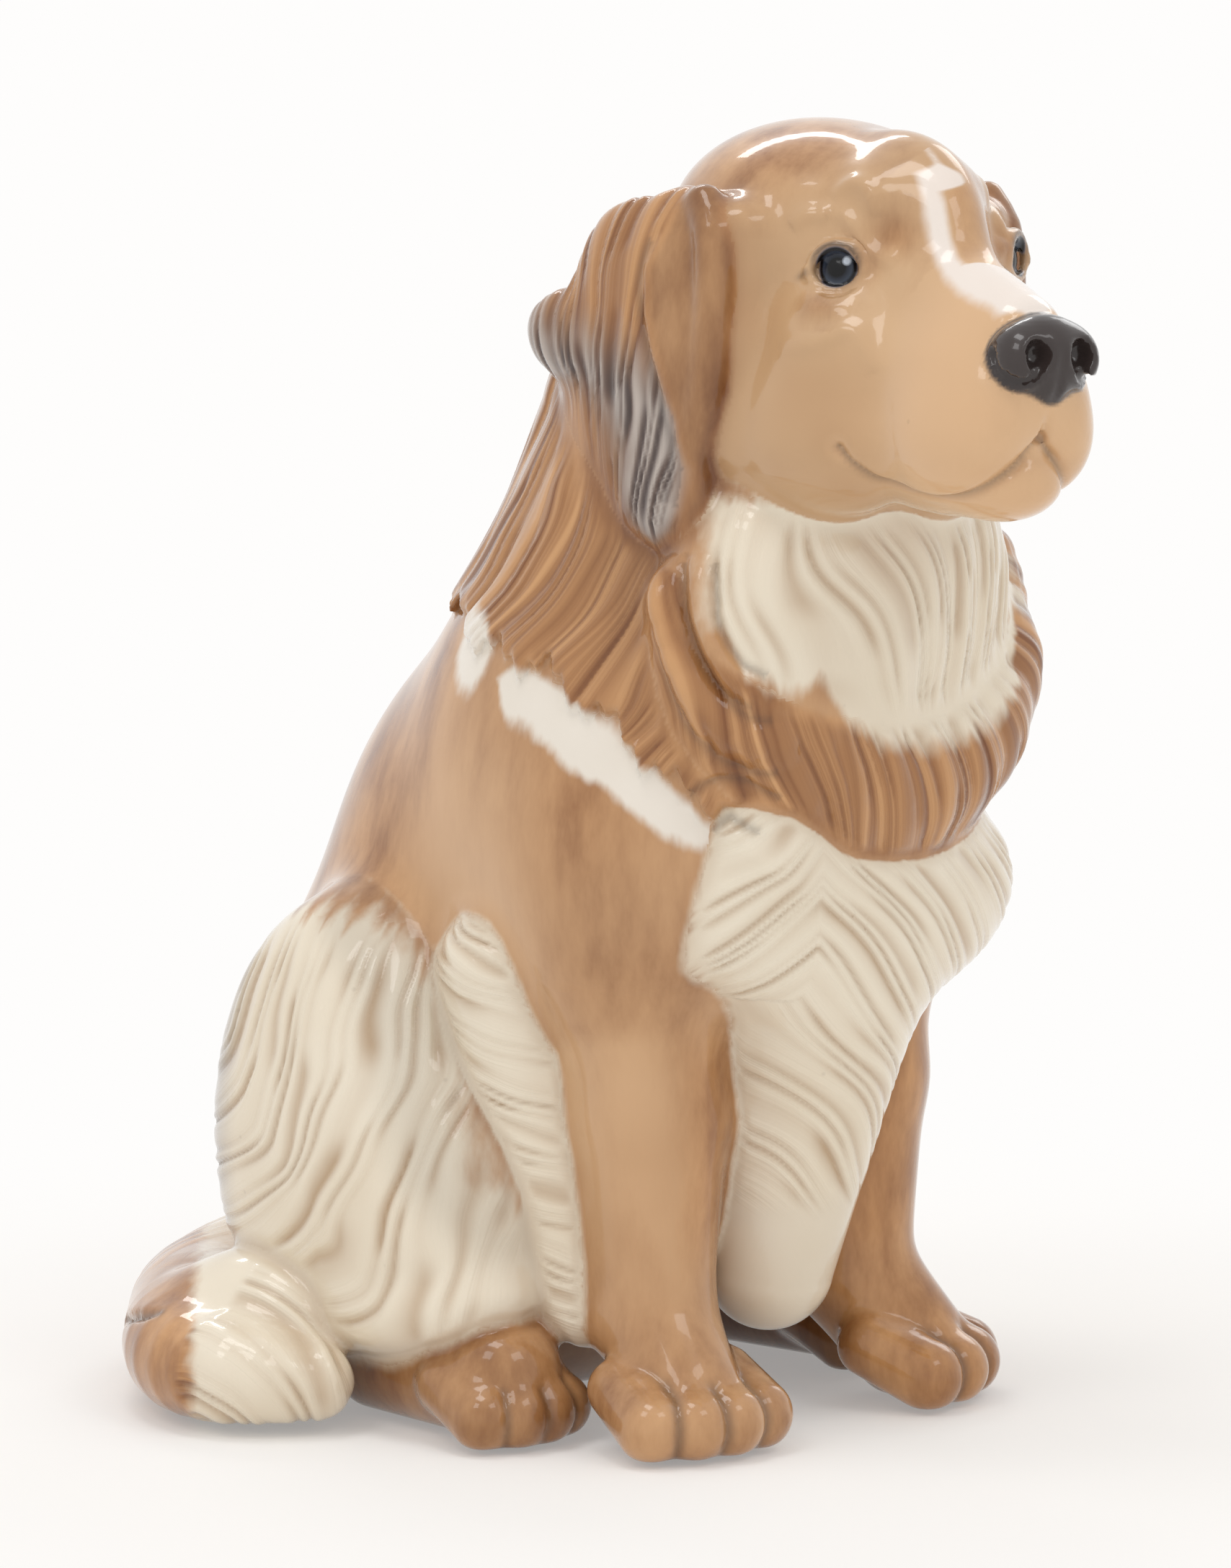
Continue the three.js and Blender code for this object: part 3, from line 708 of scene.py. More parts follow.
# %% Haunches: long waves that run down from the top and bend back towards the tail
bend = np.hypot(Y - 95, 0.62 * (Z - 75)) - 0.007 * np.clip(45 - Y, 0, 40) * (70 - Z)
low_rear = np.maximum(0.7 * (Y - 52) + 0.7 * (42 - Z), 0)
bend = bend + 0.7 * low_rear**2 / (low_rear + 6)
flow = 0.8 * np.sin(Z / 7) - bend + 1.2 * wave + 0.4 * wave_fine
for name in HAUNCHES:
    strands(fade(inside(name), 2.5) * step(80 - Z, 3, 12), flow, 2.7, 0.8)
print("Combed so far:", int((fur > 0.3).sum()))

# %% Tail and ears
tail_deep = fade(inside("tail"), 1.5)
swirl = np.sqrt((X + 68) ** 2 + (Y - 55) ** 2 + (Z - 1) ** 2)
tip_part = step(56 - Y, -1, 1) * step(-40 - X, -2, 2)
strands(tail_deep * tip_part, swirl + wave, 2.9, 0.85)
along_tail = np.hypot(X + 20, Y - 40) + 0.6 * Z
root_part = (1 - tip_part) * step(X + 47, -3, 3)
strands(tail_deep * root_part, along_tail + 1.5 * wave, 2.8, 0.4)

for hand, side in SIDES:
    flap = fade(inside(side + "_ear"), 1.2) * step(hand * HX - EAR_SPLAY * (HY - 7), 25.5, 27.5)
    spread = 0.42 + 0.58 * np.clip((HZ + 44) / 44, 0, 1.2)
    run = (HY - 9 + 0.1 * (HZ + 20)) / spread + wave + 0.5 * wave_fine
    grooved = step(HY - np.interp(HZ, [-43, -28, -17, -6, 0], [1, 1.6, 6, 8.4, 6.2]), -1, 2)
    strands(flap * grooved, run, 3.2, 0.75, along=HZ)
print("Furred points:", int((fur > 0.3).sum()))

# %% [markdown]
# ## Tool strokes
# Lines such as the mouth, the ears' edge and the crease in the tail are drawn on the skin with a
# tool. A stroke is a line laid on the nearest points of the skin; the skin sinks or rises by how
# far it is from the stroke, and the same distance gives the brush its place later.

# %% Strokes
REACH, AWAY = 9.0, 99.0  # how far a stroke is felt, and the distance beyond that


def lay(points, count=60):
    path = line_through(points, count)
    near = in_box(skin, *around(path, REACH))
    laid = np.array([skin[near[np.argmin(((skin[near] - p) ** 2).sum(axis=1))]] for p in path])
    for _ in range(6):
        laid[1:-1] = (laid[:-2] + 2 * laid[1:-1] + laid[2:]) / 4
    return laid


def from_stroke(path):
    far, along = np.full(len(skin), AWAY), np.zeros(len(skin))
    near = in_box(skin, *around(path, REACH))
    p = skin[near]
    best, place = np.full(len(near), AWAY), np.zeros(len(near))
    for i, (a, b) in enumerate(zip(path[:-1], path[1:])):
        d = b - a
        t = np.clip((p - a) @ d / max(d @ d, 1e-9), 0, 1)
        off = np.linalg.norm(p - a - t[:, None] * d, axis=1)
        place = np.where(off < best, (i + t) / (len(path) - 1), place)
        best = np.minimum(best, off)
    far[near], along[near] = best, place
    return far, np.sin(math.pi * np.clip(along, 0, 1)) ** 0.5


def from_point(point, stretch=(1, 1, 1)):
    return np.linalg.norm((skin - point) * stretch, axis=1)


def bell(far, width):
    return np.exp(-((far / width) ** 2))


print("Points from the nose tip, mm:", round(float(from_point(head_point(0, -55, -10)).min()), 2))

# %% Mouth and the folds of the face
MOUTH = [
    (0, -50.6, -24.8), (3.1, -49.5, -28.3), (6.2, -48, -31.2), (8.7, -41.6, -34.4), (10.2, -34, -35),
    (12.3, -27.2, -33.8), (15.7, -26, -31.3), (18.1, -24.1, -29),
]
FOLDS = [
    ([(14.5, -11, 4.7), (11.8, -15.3, 3.8), (10.5, -19, -0.5), (8.8, -23.7, -1.7)], 0.9, 1.5),
    ([(17.5, -8.3, 1.9), (15.8, -9.7, 3.9), (13.7, -12.6, 4)], 0.7, 1.4),
    ([(12.9, -11.6, 6.9), (10.8, -14.4, 9.3), (10.1, -17.7, 8.1), (9.7, -19.1, 4.8)], 0.7, 1.3),
    ([(18.3, -12.7, -8.1), (17.8, -16.3, -9.3), (14.9, -21.3, -8.8)], 0.5, 1.4),
    (
        [
            (20.8, -11.7, -15.5), (18.6, -19, -13.7), (15.7, -22.6, -11.6), (14.6, -25.4, -14.2),
            (14.1, -27.2, -17.5),
        ],
        0.7,
        1.7,
    ),
]
mouth_far = np.full(len(skin), AWAY)
for hand in (-1, 1):
    far, _ = from_stroke(lay([head_point(hand * x, y, z) for x, y, z in MOUTH]))
    mouth_far = np.minimum(mouth_far, far)
    lift -= 0.8 * bell(far, 0.7)
    lift -= 0.7 * bell(from_point(head_point(hand * 18, -24.2, -29.2)), 1.6)
    for points, height, width in FOLDS:
        far, firm = from_stroke(lay([head_point(hand * x, y, z) for x, y, z in points], 30))
        lift += height * firm * bell(far, width)
print("Folds on each side of the face:", len(FOLDS))

# %% The inner edge of the ears' front fold
EAR_EDGE_Z = [-43, -35, -28, -21.6, -17, -12.6, -5.7, 0.4]
EAR_EDGE_Y = [1.0, 0.3, 1.6, 4, 6, 7.4, 8.4, 6.2]
edge_far = np.full(len(skin), AWAY)
for hand in (-1, 1):
    points = [(hand * (32.5 + EAR_SPLAY * (y - 7)), y, z) for y, z in zip(EAR_EDGE_Y, EAR_EDGE_Z)]
    far, firm = from_stroke(lay([head_point(*p) for p in points]))
    behind = step(HY - np.interp(HZ, EAR_EDGE_Z, EAR_EDGE_Y), -0.5, 0.5)
    lift += 0.7 * firm * bell(far, 1.3) * (1 - behind) - 0.6 * firm * bell(far - 1.0, 0.9) * behind
    edge_far = np.minimum(edge_far, np.where((firm > 0.4) & (behind > 0.5), np.abs(far - 1.0), AWAY))
print("Points on the ears' edge:", int((edge_far < 1).sum()))

# %% Curled locks at the neck, and the crease in the tail
LOCKS = [
    (
        [
            (-26.5, -8, 137), (-31, -9.5, 131), (-33, -12, 124), (-32, -16, 116.5), (-28.5, -20.3, 111),
            (-21, -25, 110),
        ],
        1.3,
        2.2,
    ),
    ([(-26, -13, 136), (-30, -15.5, 128), (-29.5, -19.5, 121), (-25, -23.5, 117.5)], 1.0, 1.4),
    ([(-29.8, -12.7, 98.6), (-27.3, -17.5, 102), (-22.2, -22.3, 98.5)], 1.0, 1.6),
]
lock_far = np.full(len(skin), AWAY)
for points, height, width in LOCKS:
    far, firm = from_stroke(lay(points))
    lift += height * firm * (bell(far, width) - 0.8 * bell(far - 1.9 * width, 0.55 * width))
    lock_far = np.minimum(lock_far, np.where(firm > 0.5, np.abs(far - 1.9 * width), AWAY))
TAIL_CREASE = [(-57, 84, 12), (-60.4, 77.6, 12.9), (-63.6, 71, 14.6), (-64.8, 65.5, 15.6)]
tail_far, firm = from_stroke(lay(TAIL_CREASE))
lift -= 1.3 * firm * bell(tail_far, 0.9)
print("Locks:", len(LOCKS))

# %% Creases where one piece lies on another
CREASES = {
    "right_ear": 0.5, "left_ear": 0.5, "right_hind_foot": 0.5, "left_hind_foot": 0.5, "tail": 0.4,
    "chest_feather": 0.3, "right_leg_fringe": 0.3, "left_leg_fringe": 0.3,
}
for name, depth in CREASES.items():
    line = bell(inside(name), 1.0)
    lift -= depth * line
    # painted shade in the crease where one piece lies on another
    pool_and_shade = np.maximum(pool_and_shade, 1.1 * depth * line)
print("Creases:", len(CREASES))

# %% Lines between the toes
toe_line = np.zeros(len(skin))
for hand, side in SIDES:
    for name, made in ((side + "_foreleg", foreleg(hand)), (side + "_hind_foot", hind_foot(hand))):
        mine = np.flatnonzero((nearest == COLUMN[name]) & (Z < 22))
        x, y, z = skin[mine].T
        far = np.sort(np.stack([toe(x, y, z) for toe in made[1]]), axis=0)
        leg_far = made[0](x, y, z)
        between = bell(far[1] - far[0], 0.9) * step(3.0 - far[0], 0, 2) * step(leg_far - far[0], -2, 0.5)
        toe_line[mine] = between
lift -= 0.7 * toe_line
print("Deepest tool mark, mm:", round(float(-lift.min()), 2))

# %% Move the skin, keep the foot flat
floor_fade = step(Z, 0.4, 3.0)
skin = skin + normals * (lift * floor_fade)[:, None]
skin[:, 2] = np.maximum(skin[:, 2], 0.0)
normals = facing(skin)
print("Skin box, mm:", np.ptp(skin, axis=0).round(1))

# %% [markdown]
# ## Where the colours go
# The painter lays thin washes over each other before the glaze: tan over all, brown on the mane,
# ears and paws, cream and white where the fur is pale, peach on the muzzle and the flank, grey on
# the ears and a dark brush on the nose, mouth and toes. Some washes are painted light and shade:
# painted shade in creases, grooves and hollows, under the ear and the chin, between the haunch and
# the leg, on the far foreleg and the inner side of each foreleg, at the rump, on the tail's far bend
# and low on the chest feather; and painted light on the outer side of the right foreleg, on the lips'
# edge and on the ridges of the grey fur. They could be painted as pictures on the mesh, but values on
# its points need no unwrapping. Each wash is kept on the points, pale ones as a distance in
# millimetres to the wash's edge, so that the brush strokes of the material fray it.

# %% Pale washes
PALE = ["throat_bib", "chest_feather", *FRINGES, *HAUNCHES, "tail"]
cream = np.clip(3 * inside(*PALE), -6, 6)
to_bend = 0.719 * Y - 0.695 * X  # grows towards the outer bend of the tail
tail_brown = np.maximum(np.minimum(to_bend - 87.5, 31 - Z), np.minimum(to_bend - 94, 44 - Z))


def within(*names):
    return step(inside(*names), -0.6, 0.6)


def limit(names, edge):
    held = np.minimum(cream, edge)
    return cream + (held - cream) * within(*names)


thigh_edge = np.interp(Z, [24, 36, 40, 53, 60, 67, 73, 80], [2, 14, 18, 23.5, 26.5, 30, 37, 46])
haunch_top = 76 - Z + 3.0 * np.abs(((Y / 4.5) % 1) - 0.5) * 2
cream = limit(["tail"], -tail_brown)
cream = limit(HAUNCHES, np.minimum(0.45 * (Y - thigh_edge), 0.6 * haunch_top))
BIB_EDGE_X = [-31, -29, -25, -21, -18.7, -16, -13.6, -7.4, 5, 19, 26.5, 31]
BIB_EDGE_Z = [128, 121.5, 118.6, 118.2, 120.4, 117, 113.5, 108.7, 106.7, 108.9, 113.2, 124]
bib_edge = np.minimum(Z - np.interp(X, BIB_EDGE_X, BIB_EDGE_Z), -15.0 - 0.25 * (140 - Z) - Y)
bib_top = np.where(X < -19, 146.5 - Z, 6.0)
bib_paint = np.clip(np.minimum(0.7 * bib_edge, bib_top), -6, 6)
on_throat = within("throat_bib", "neck_ruff")
cream = cream + (np.minimum(bib_paint, 12 * on_throat - 6) - cream) * on_throat

edge_z = np.interp(Y, MANE_EDGE_Y, MANE_EDGE_Z)
band = 4.0 - np.abs(Z - edge_z + 5.0 + 0.8 * wave_fine)
band = band - 0.5 * np.clip(-10 - Y, 0, 9) - 1.2 * np.clip(Y - 19, 0, 9)
spot = 5.0 - np.hypot((Y - 30.2) * 1.05, (Z - 119.3) * 0.8)
white = np.maximum(band, spot)
white = np.where((nearest == COLUMN["torso"]) & (np.abs(X) > 12), white, -6.0)
left_edge = np.interp(-HY, [22, 25, 28, 31.5, 35.5, 39.5, 43], [-4.8, -5.4, -5.5, -6, -6.4, -6, -5.4])
right_edge = np.interp(-HY, [25, 33, 36, 44], [-2.8, -3.4, 5, 5]) + 4.5 * step(HZ, 8.8, 10.4)
blaze = np.minimum(HX - left_edge, right_edge - HX) - 3 * step(HZ, 11, 13) - 3 * step(-45 - HY, 0, 3)
on_the_head = nearest == COLUMN["head"]
on_bridge = np.where(HY < -19, blaze, -6.0)
white = np.where(on_the_head & (HZ > -14), np.maximum(white, on_bridge), white)
white = np.clip(white, -6, 6)
print("Points under pale washes:", int((cream > 0).sum()), "white:", int((white > 0).sum()))

# %% Brown wash on the body and the legs
def strongest(*washes):
    return np.maximum.reduce(washes)


on_torso = nearest == COLUMN["torso"]
on_haunch = within(*HAUNCHES)
flank = from_point((-38, 27, 84))
shoulder = from_point((-38, 4, 100), (1, 1, 0.6))
coat = 0.36 + 0.16 * wave - 0.36 * bell(flank, 20) + 0.25 * bell(shoulder, 8) + 0.62 * step(Y, 24, 50)
brown = strongest(
    np.clip(coat, 0.03, 1) * (1 - within("head")),
    on_torso * step(over_mane_edge(X, Y, Z), -1.5, 1.5),
    *(within(name) for name in ("right_ear", "left_ear", "neck_ruff")),
    0.85 * within("tail"),
)
LEG_SHADE = {"right": 0.05, "left": 0.6}
for hand, side in SIDES:
    # painted shade on the far, left foreleg (LEG_SHADE) and on the inner front side of each foreleg
    inner = step(-0.7 * hand * normals[:, 0] - 0.7 * normals[:, 1], 0.1, 0.9)
    leg_wash = LEG_SHADE[side] + 0.55 * step(40 - Z, 0, 36) + 1.1 * inner * step(Z, 20, 40)
    brown = brown + (leg_wash - brown) * step(inside(side + "_foreleg"), -3, 3)
    brown = strongest(brown, within(side + "_hind_foot"))
print("Points under brown on the body:", int((brown > 0.5).sum()))

# %% Brown wash on the head
def on_eye(hand):
    at, ahead, up, out = eye_frame(hand)
    away = np.stack([HX, HY, HZ], axis=1) - at
    return away @ ahead, away @ up, np.abs(away @ out)


far_side = step(HX - right_edge, 0, 1.5) * step(-HY, 17, 22) * step(35 + HY, 0, 3) * step(HZ, -4, 0)
# painted shade on the underside of the chin
chin = step(-HY, 44, 50) * step(-26 - HZ, 0, 4)
crown = strongest(step(HZ + 0.35 * HY, -4, 14) * step(HY, -22, 0), 0.7 * chin, 0.8 * far_side)
for hand in (-1, 1):
    brow_hollow_shade = from_point(head_point(hand * 8.4, -22.6, 1.8), (1, 0.8, 1))
    beside_nose = from_point(head_point(hand * 9.24, -49.2, -20.2))
    across, over, deep = on_eye(hand)
    under_eye = bell(np.hypot((across - 1.2) / 1.5, over + 6.4), 2.4)
    behind_eye = bell(np.hypot((across + 5.5) / 1.2, over - 1.0), 4.5)
    crown = strongest(
        crown,
        # painted shade in the hollow between the brow and the bridge
        0.85 * bell(brow_hollow_shade, 3.6),
        0.45 * bell(beside_nose, 3),
        0.6 * (deep < 8) * under_eye,
        0.4 * (deep < 8) * behind_eye,
    )
brown = np.where(on_the_head, strongest(brown, 0.9 * crown), brown)
print("Points under brown:", int((brown > 0.5).sum()))

# %% Peach and grey washes, with painted light and shade
peach = strongest(
    0.85 * on_the_head * step(-HY, 20, 40) * step(HZ, -48, -34),
    # peach on the lips along the mouth, with a painted highlight on the lip's edge
    bell(mouth_far, 1.6) * step(HZ + 24, -12, 0),
    0.55 * on_torso * bell(flank, 15),
    # painted light: the outward-facing side of the right foreleg, where the light falls, is lighter
    0.4 * within("right_foreleg") * step(-normals[:, 0], 0.3, 0.9) * step(Z, 30, 55),
)
fold_edge = np.interp(HZ, EAR_EDGE_Z, EAR_EDGE_Y)
low_ears = step(-HZ + 0.2 * (HY - 8), 13, 27) * step(HY - fold_edge, -1.5, 2)
rump = step(Y, 62, 74) * step(60 - np.abs(Z - 50), 0, 30) * step(np.abs(X), 26, 40)
grey = strongest(
    *(low_ears * step(inside(side + "_ear"), 0.3, 2.0) * step(hand * HX, 26, 28) for hand, side in SIDES),
    # painted shade: grey on the tail's far bend, at the back of the haunches by the rump, low on the
    # feather
    0.15 * within("tail") * step(Y, 58, 66) * step(Z, 20, 30),
    0.65 * rump * on_haunch,
    0.04 * (nearest == COLUMN["chest_feather"]) * step(40 - Z, 0, 6),
)
print("Points under peach:", int((peach > 0.5).sum()), "grey:", int((grey > 0.5).sum()))

# %% Dark brush with painted shade, and the foot wiped bare
shade_under_ear = from_point((-32, -3, 138), (1, 1, 0.6))
on_ears = strongest(step(inside("right_ear"), 0, 1), step(inside("left_ear"), 0, 1))
dark = strongest(
    step(0.5 - pad(HX, HY, HZ), 0, 0.5) * (HY < -42),
    0.35 * bell(mouth_far, 0.5),
    0.5 * toe_line,
    0.16 * within("right_hind_foot", "left_hind_foot"),
    # painted shade in the crease of the tail
    0.6 * bell(tail_far, 0.8),
    # painted shade on the neck under the ear
    0.16 * bell(shade_under_ear, 9) * on_torso,
    0.22 * step(fold_edge - HY, 0, 2) * on_ears,
    # painted shade in the grooves beside the neck locks and behind the ears' edge
    0.3 * bell(lock_far, 0.7),
    0.35 * bell(edge_far, 0.8),
    # painted shade low on the front of the haunch, where it meets the leg
    0.2 * on_haunch * step(thigh_edge + 16 - Y, 0, 10) * step(Z, 12, 22),
)
for hand in (-1, 1):
    across, over, deep = on_eye(hand)
    rim = bell(np.hypot(across * 0.9, over) - 3.2, 0.5) * (0.3 + 0.5 * step(over, -1, 2))
    corner = bell(np.hypot((across - 5.2) * 0.55, over + 1.2 + 0.3 * (across - 4)), 0.6)
    dark = strongest(dark, (deep < 4) * rim, 0.6 * (deep < 4) * corner)
bare = step(0.35 - Z, 0, 0.25)
print("Points under dark:", int((dark > 0.5).sum()), "bare:", int((bare > 0.5).sum()))

# %% [markdown]
# ## Shared brush and glaze effects
# Four node groups are used by all the glazes: the brush's fraying of a wash's edge, the streaks a
# wash dries with, the colour that collects in the grooves of the fur together with painted shade
# there, and the glaze's own faint ripple with pinholes. They put out masks, values and heights; the
# shader stays in the material.

# %% Small helpers for node groups
def srgb(code):
    parts = [int(code[k : k + 2], 16) / 255 for k in (1, 3, 5)]
    return [c / 12.92 if c <= 0.04045 else ((c + 0.055) / 1.055) ** 2.4 for c in parts] + [1.0]


def group(name, inputs, outputs):
    tree = bpy.data.node_groups.new(name, "ShaderNodeTree")
    for label, kind, value in inputs:
        socket = tree.interface.new_socket(label, in_out="INPUT", socket_type=kind)
        if value is not None:
            socket.default_value = value
    for label, kind in outputs:
        tree.interface.new_socket(label, in_out="OUTPUT", socket_type=kind)
    return tree, tree.nodes.new("NodeGroupInput").outputs, tree.nodes.new("NodeGroupOutput")


def feed(tree, node, inputs):
    for key, value in inputs.items():
        if isinstance(value, bpy.types.NodeSocket):
            tree.links.new(value, node.inputs[key])
        else:
            node.inputs[key].default_value = srgb(value) if isinstance(value, str) else value
    return node


def put(tree, kind, inputs=None, **settings):
    node = tree.nodes.new(kind)
    for key, value in settings.items():
        setattr(node, key, value)
    return feed(tree, node, inputs or {})


def sums(tree, operation, *values):
    return put(tree, "ShaderNodeMath", dict(enumerate(values)), operation=operation).outputs[0]


def noise(tree, scale, place, detail=2.0, roughness=0.5, dimensions="3D"):
    inputs = {"Scale": scale, "Detail": detail, "Roughness": roughness, **place}
    return put(tree, "ShaderNodeTexNoise", inputs, noise_dimensions=dimensions).outputs[0]


def ramp(tree, value, low, high, to_low=0.0, to_high=1.0, kind="LINEAR"):
    inputs = {"Value": value, "From Min": low, "From Max": high, "To Min": to_low, "To Max": to_high}
    return put(tree, "ShaderNodeMapRange", inputs, interpolation_type=kind).outputs["Result"]


def object_place(tree):
    return put(tree, "ShaderNodeTexCoord").outputs["Object"]


VALUE, COLOUR, VECTOR = "NodeSocketFloat", "NodeSocketColor", "NodeSocketVector"
print("Socket kinds:", VALUE, COLOUR, VECTOR)

# %% Frayed wash edge
frayed, into, out = group(
    "frayed wash edge",
    [("Edge mm", VALUE, 0.0), ("Strand", VALUE, 0.0), ("Fray mm", VALUE, 1.5), ("Soft mm", VALUE, 0.6)],
    [("Mask", VALUE)],
)
slant = put(frayed, "ShaderNodeMapping", {"Vector": object_place(frayed), "Scale": (1.0, 1.0, 0.4)})
hair = noise(frayed, 380, {"Vector": slant.outputs[0]}, detail=3)
lock = noise(frayed, 1.6, {"W": into["Strand"]}, detail=1, dimensions="1D")
uneven = sums(frayed, "SUBTRACT", sums(frayed, "ADD", hair, lock), 1.0)
edge = sums(frayed, "ADD", into["Edge mm"], sums(frayed, "MULTIPLY", uneven, into["Fray mm"]))
soft = into["Soft mm"]
mask = ramp(frayed, edge, sums(frayed, "MULTIPLY", soft, -1.0), soft, kind="SMOOTHSTEP")
feed(frayed, out, {"Mask": mask})
print(frayed.name, "nodes:", len(frayed.nodes))

# %% Streaks of a drying wash
streaks, into, out = group(
    "drying streaks", [("Strand", VALUE, 0.0), ("Fur", VALUE, 0.0)], [("Value", VALUE), ("Cloud", VALUE)]
)
place = object_place(streaks)
stretch = put(streaks, "ShaderNodeMapping", {"Vector": place, "Scale": (1.0, 1.0, 0.35)})
brush = noise(streaks, 90, {"Vector": stretch.outputs[0]}, detail=5, roughness=0.6)
hairs = noise(streaks, 1.1, {"W": into["Strand"]}, detail=4, dimensions="1D")
mixed = put(streaks, "ShaderNodeMix", {"Factor": into["Fur"], 2: brush, 3: hairs})
feed(streaks, out, {"Value": mixed.outputs[0], "Cloud": noise(streaks, 38, {"Vector": place})})
print(streaks.name, "nodes:", len(streaks.nodes))

# %% Colour and painted shade held in the grooves
pooling_and_shade, into, out = group(
    "pooling in grooves",
    [("Groove", VALUE, 0.0), ("Strand", VALUE, 0.0), ("Fur", VALUE, 0.0)],
    [("Held_colour_and_shade", VALUE), ("Height", VALUE)],
)
uneven = noise(pooling_and_shade, 0.9, {"W": into["Strand"]}, dimensions="1D")
# a groove holds collected glaze colour and painted shade
held = sums(pooling_and_shade, "MULTIPLY", into["Groove"], sums(pooling_and_shade, "ADD", uneven, 0.5))
hairs = noise(pooling_and_shade, 5.0, {"W": into["Strand"]}, dimensions="1D")
fine = sums(pooling_and_shade, "MULTIPLY", hairs, into["Fur"])
feed(pooling_and_shade, out, {"Held_colour_and_shade": held, "Height": sums(pooling_and_shade, "SUBTRACT", fine, into["Groove"])})
print(pooling_and_shade.name, "nodes:", len(pooling_and_shade.nodes))

# %% Ripple and pinholes of the glaze
ripple, into, out = group(
    "glaze ripple", [("Bare", VALUE, 0.0)], [("Height", VALUE), ("Roughness", VALUE), ("Speck", VALUE)]
)
place = object_place(ripple)
swell = noise(ripple, 110, {"Vector": place})
dots = put(ripple, "ShaderNodeTexVoronoi", {"Vector": place, "Scale": 210})
dot = ramp(ripple, dots.outputs["Distance"], 0.10, 0.04)
draw = put(ripple, "ShaderNodeSeparateColor", {0: dots.outputs["Color"]}).outputs[0]
speck = sums(ripple, "MULTIPLY", dot, sums(ripple, "GREATER_THAN", draw, 0.93))
height = sums(ripple, "SUBTRACT", swell, sums(ripple, "MULTIPLY", speck, 0.4))
glossy = ramp(ripple, swell, 0.0, 1.0, 0.16, 0.30)
worn = put(ripple, "ShaderNodeMix", {"Factor": into["Bare"], 2: glossy, 3: 0.85})
feed(ripple, out, {"Height": height, "Roughness": worn.outputs[0], "Speck": speck})
print(ripple.name, "nodes:", len(ripple.nodes))

# %% [markdown]
# ## The glazes
# All the glazes are one recipe: washes over a base colour, then the colour and painted shade held in
# the grooves with painted light on the ridges of grey fur, then the dark brush with its painted shade,
# under one glossy coat. Tan, brown and cream differ in how strongly the grooves hold the colour and
# the shade. The head's glaze has a base of its own, firmer edges to its white, and the painted eyes.
# One function makes them all, so a change to the recipe reaches every piece.

# %% Colours of the washes
TAN, FACE, CREAM, WHITE = "#d3a97f", "#d2ae86", "#f0e6d3", "#f2ebe1"
PEACH, GREY, SILVER = "#dfb78d", "#5f514d", "#cfc4bb"
DARK, GROOVE, BISQUE = "#382f2d", "#b8966f", "#eee9e0"


def blend(tree, factor, a, b, mode="MIX"):
    inputs = {0: factor, 6: a, 7: b}
    return put(tree, "ShaderNodeMix", inputs, data_type="RGBA", blend_type=mode).outputs[2]


def wash(tree, name):
    return put(tree, "ShaderNodeAttribute", attribute_name=name).outputs["Fac"]


print("Tan as the shader has it:", [round(c, 3) for c in srgb(TAN)])

# %% Painted eye, in the head's glaze
painted_eye, into, out = group(
    "painted eye",
    [("Place", VECTOR, None), ("Middle", VECTOR, None), ("Glint", VECTOR, None)],
    [("Colour", COLOUR), ("Mask", VALUE)],
)


def far_from(label):
    ends = {0: into["Place"], 1: into[label]}
    return put(painted_eye, "ShaderNodeVectorMath", ends, operation="DISTANCE").outputs["Value"]


far_mm = sums(painted_eye, "MULTIPLY", far_from("Middle"), 1000.0)
rings = put(painted_eye, "ShaderNodeValToRGB", {0: sums(painted_eye, "DIVIDE", far_mm, 5.0)})
bands = rings.color_ramp.elements
bands[0].position, bands[0].color = 0.27, srgb("#050405")
bands[1].position, bands[1].color = 0.33, srgb("#20242e")
for at, code in ((0.46, "#39414f"), (0.53, "#0f0d0e"), (0.58, "#191516"), (0.63, "#6d676d")):
    bands.new(at).color = srgb(code)
glint = ramp(painted_eye, far_from("Glint"), 0.0008, 0.0004)
iris = blend(painted_eye, glint, rings.outputs[0], "#c9d2de")
feed(painted_eye, out, {"Colour": iris, "Mask": ramp(painted_eye, far_mm, 3.35, 3.05)})
print(painted_eye.name, "rings:", len(bands))

# %% The washes, the pooling and the eyes
def held_in(tree, value):
    return put(tree, "ShaderNodeClamp", {"Value": value}).outputs[0]


def washes_on(tree, base, pale, streak, strand):
    deeper = held_in(tree, sums(tree, "MULTIPLY_ADD", streak["Value"], 2.6, -0.8))
    cloudy = sums(tree, "MULTIPLY_ADD", streak["Cloud"], 1.4, -0.4)
    colour = blend(tree, sums(tree, "MULTIPLY", cloudy, 0.8), base, "#a87a4f")
    ragged = sums(tree, "ADD", wash(tree, "brown"), sums(tree, "MULTIPLY_ADD", deeper, -0.5, 0.25))
    full = held_in(tree, sums(tree, "MULTIPLY", ragged, wash(tree, "brown_on")))
    colour = blend(tree, full, colour, blend(tree, deeper, "#845128", "#d09c68"))
    colour = blend(tree, wash(tree, "peach"), colour, PEACH)
    for name, code, dim, fray, soft in (("cream", CREAM, "#e3d4bb", 2.2, 1.4), ("white", *pale)):
        reach = {"Edge mm": wash(tree, name), "Strand": strand, "Fray mm": fray, "Soft mm": soft}
        edge = put(tree, "ShaderNodeGroup", reach, node_tree=frayed)
        colour = blend(tree, edge.outputs["Mask"], colour, blend(tree, cloudy, code, dim))
    grey_wash = wash(tree, "grey")
    veil = sums(tree, "MULTIPLY", grey_wash, sums(tree, "MULTIPLY_ADD", streak["Value"], 1.1, 0.4))
    return blend(tree, veil, colour, GREY), grey_wash


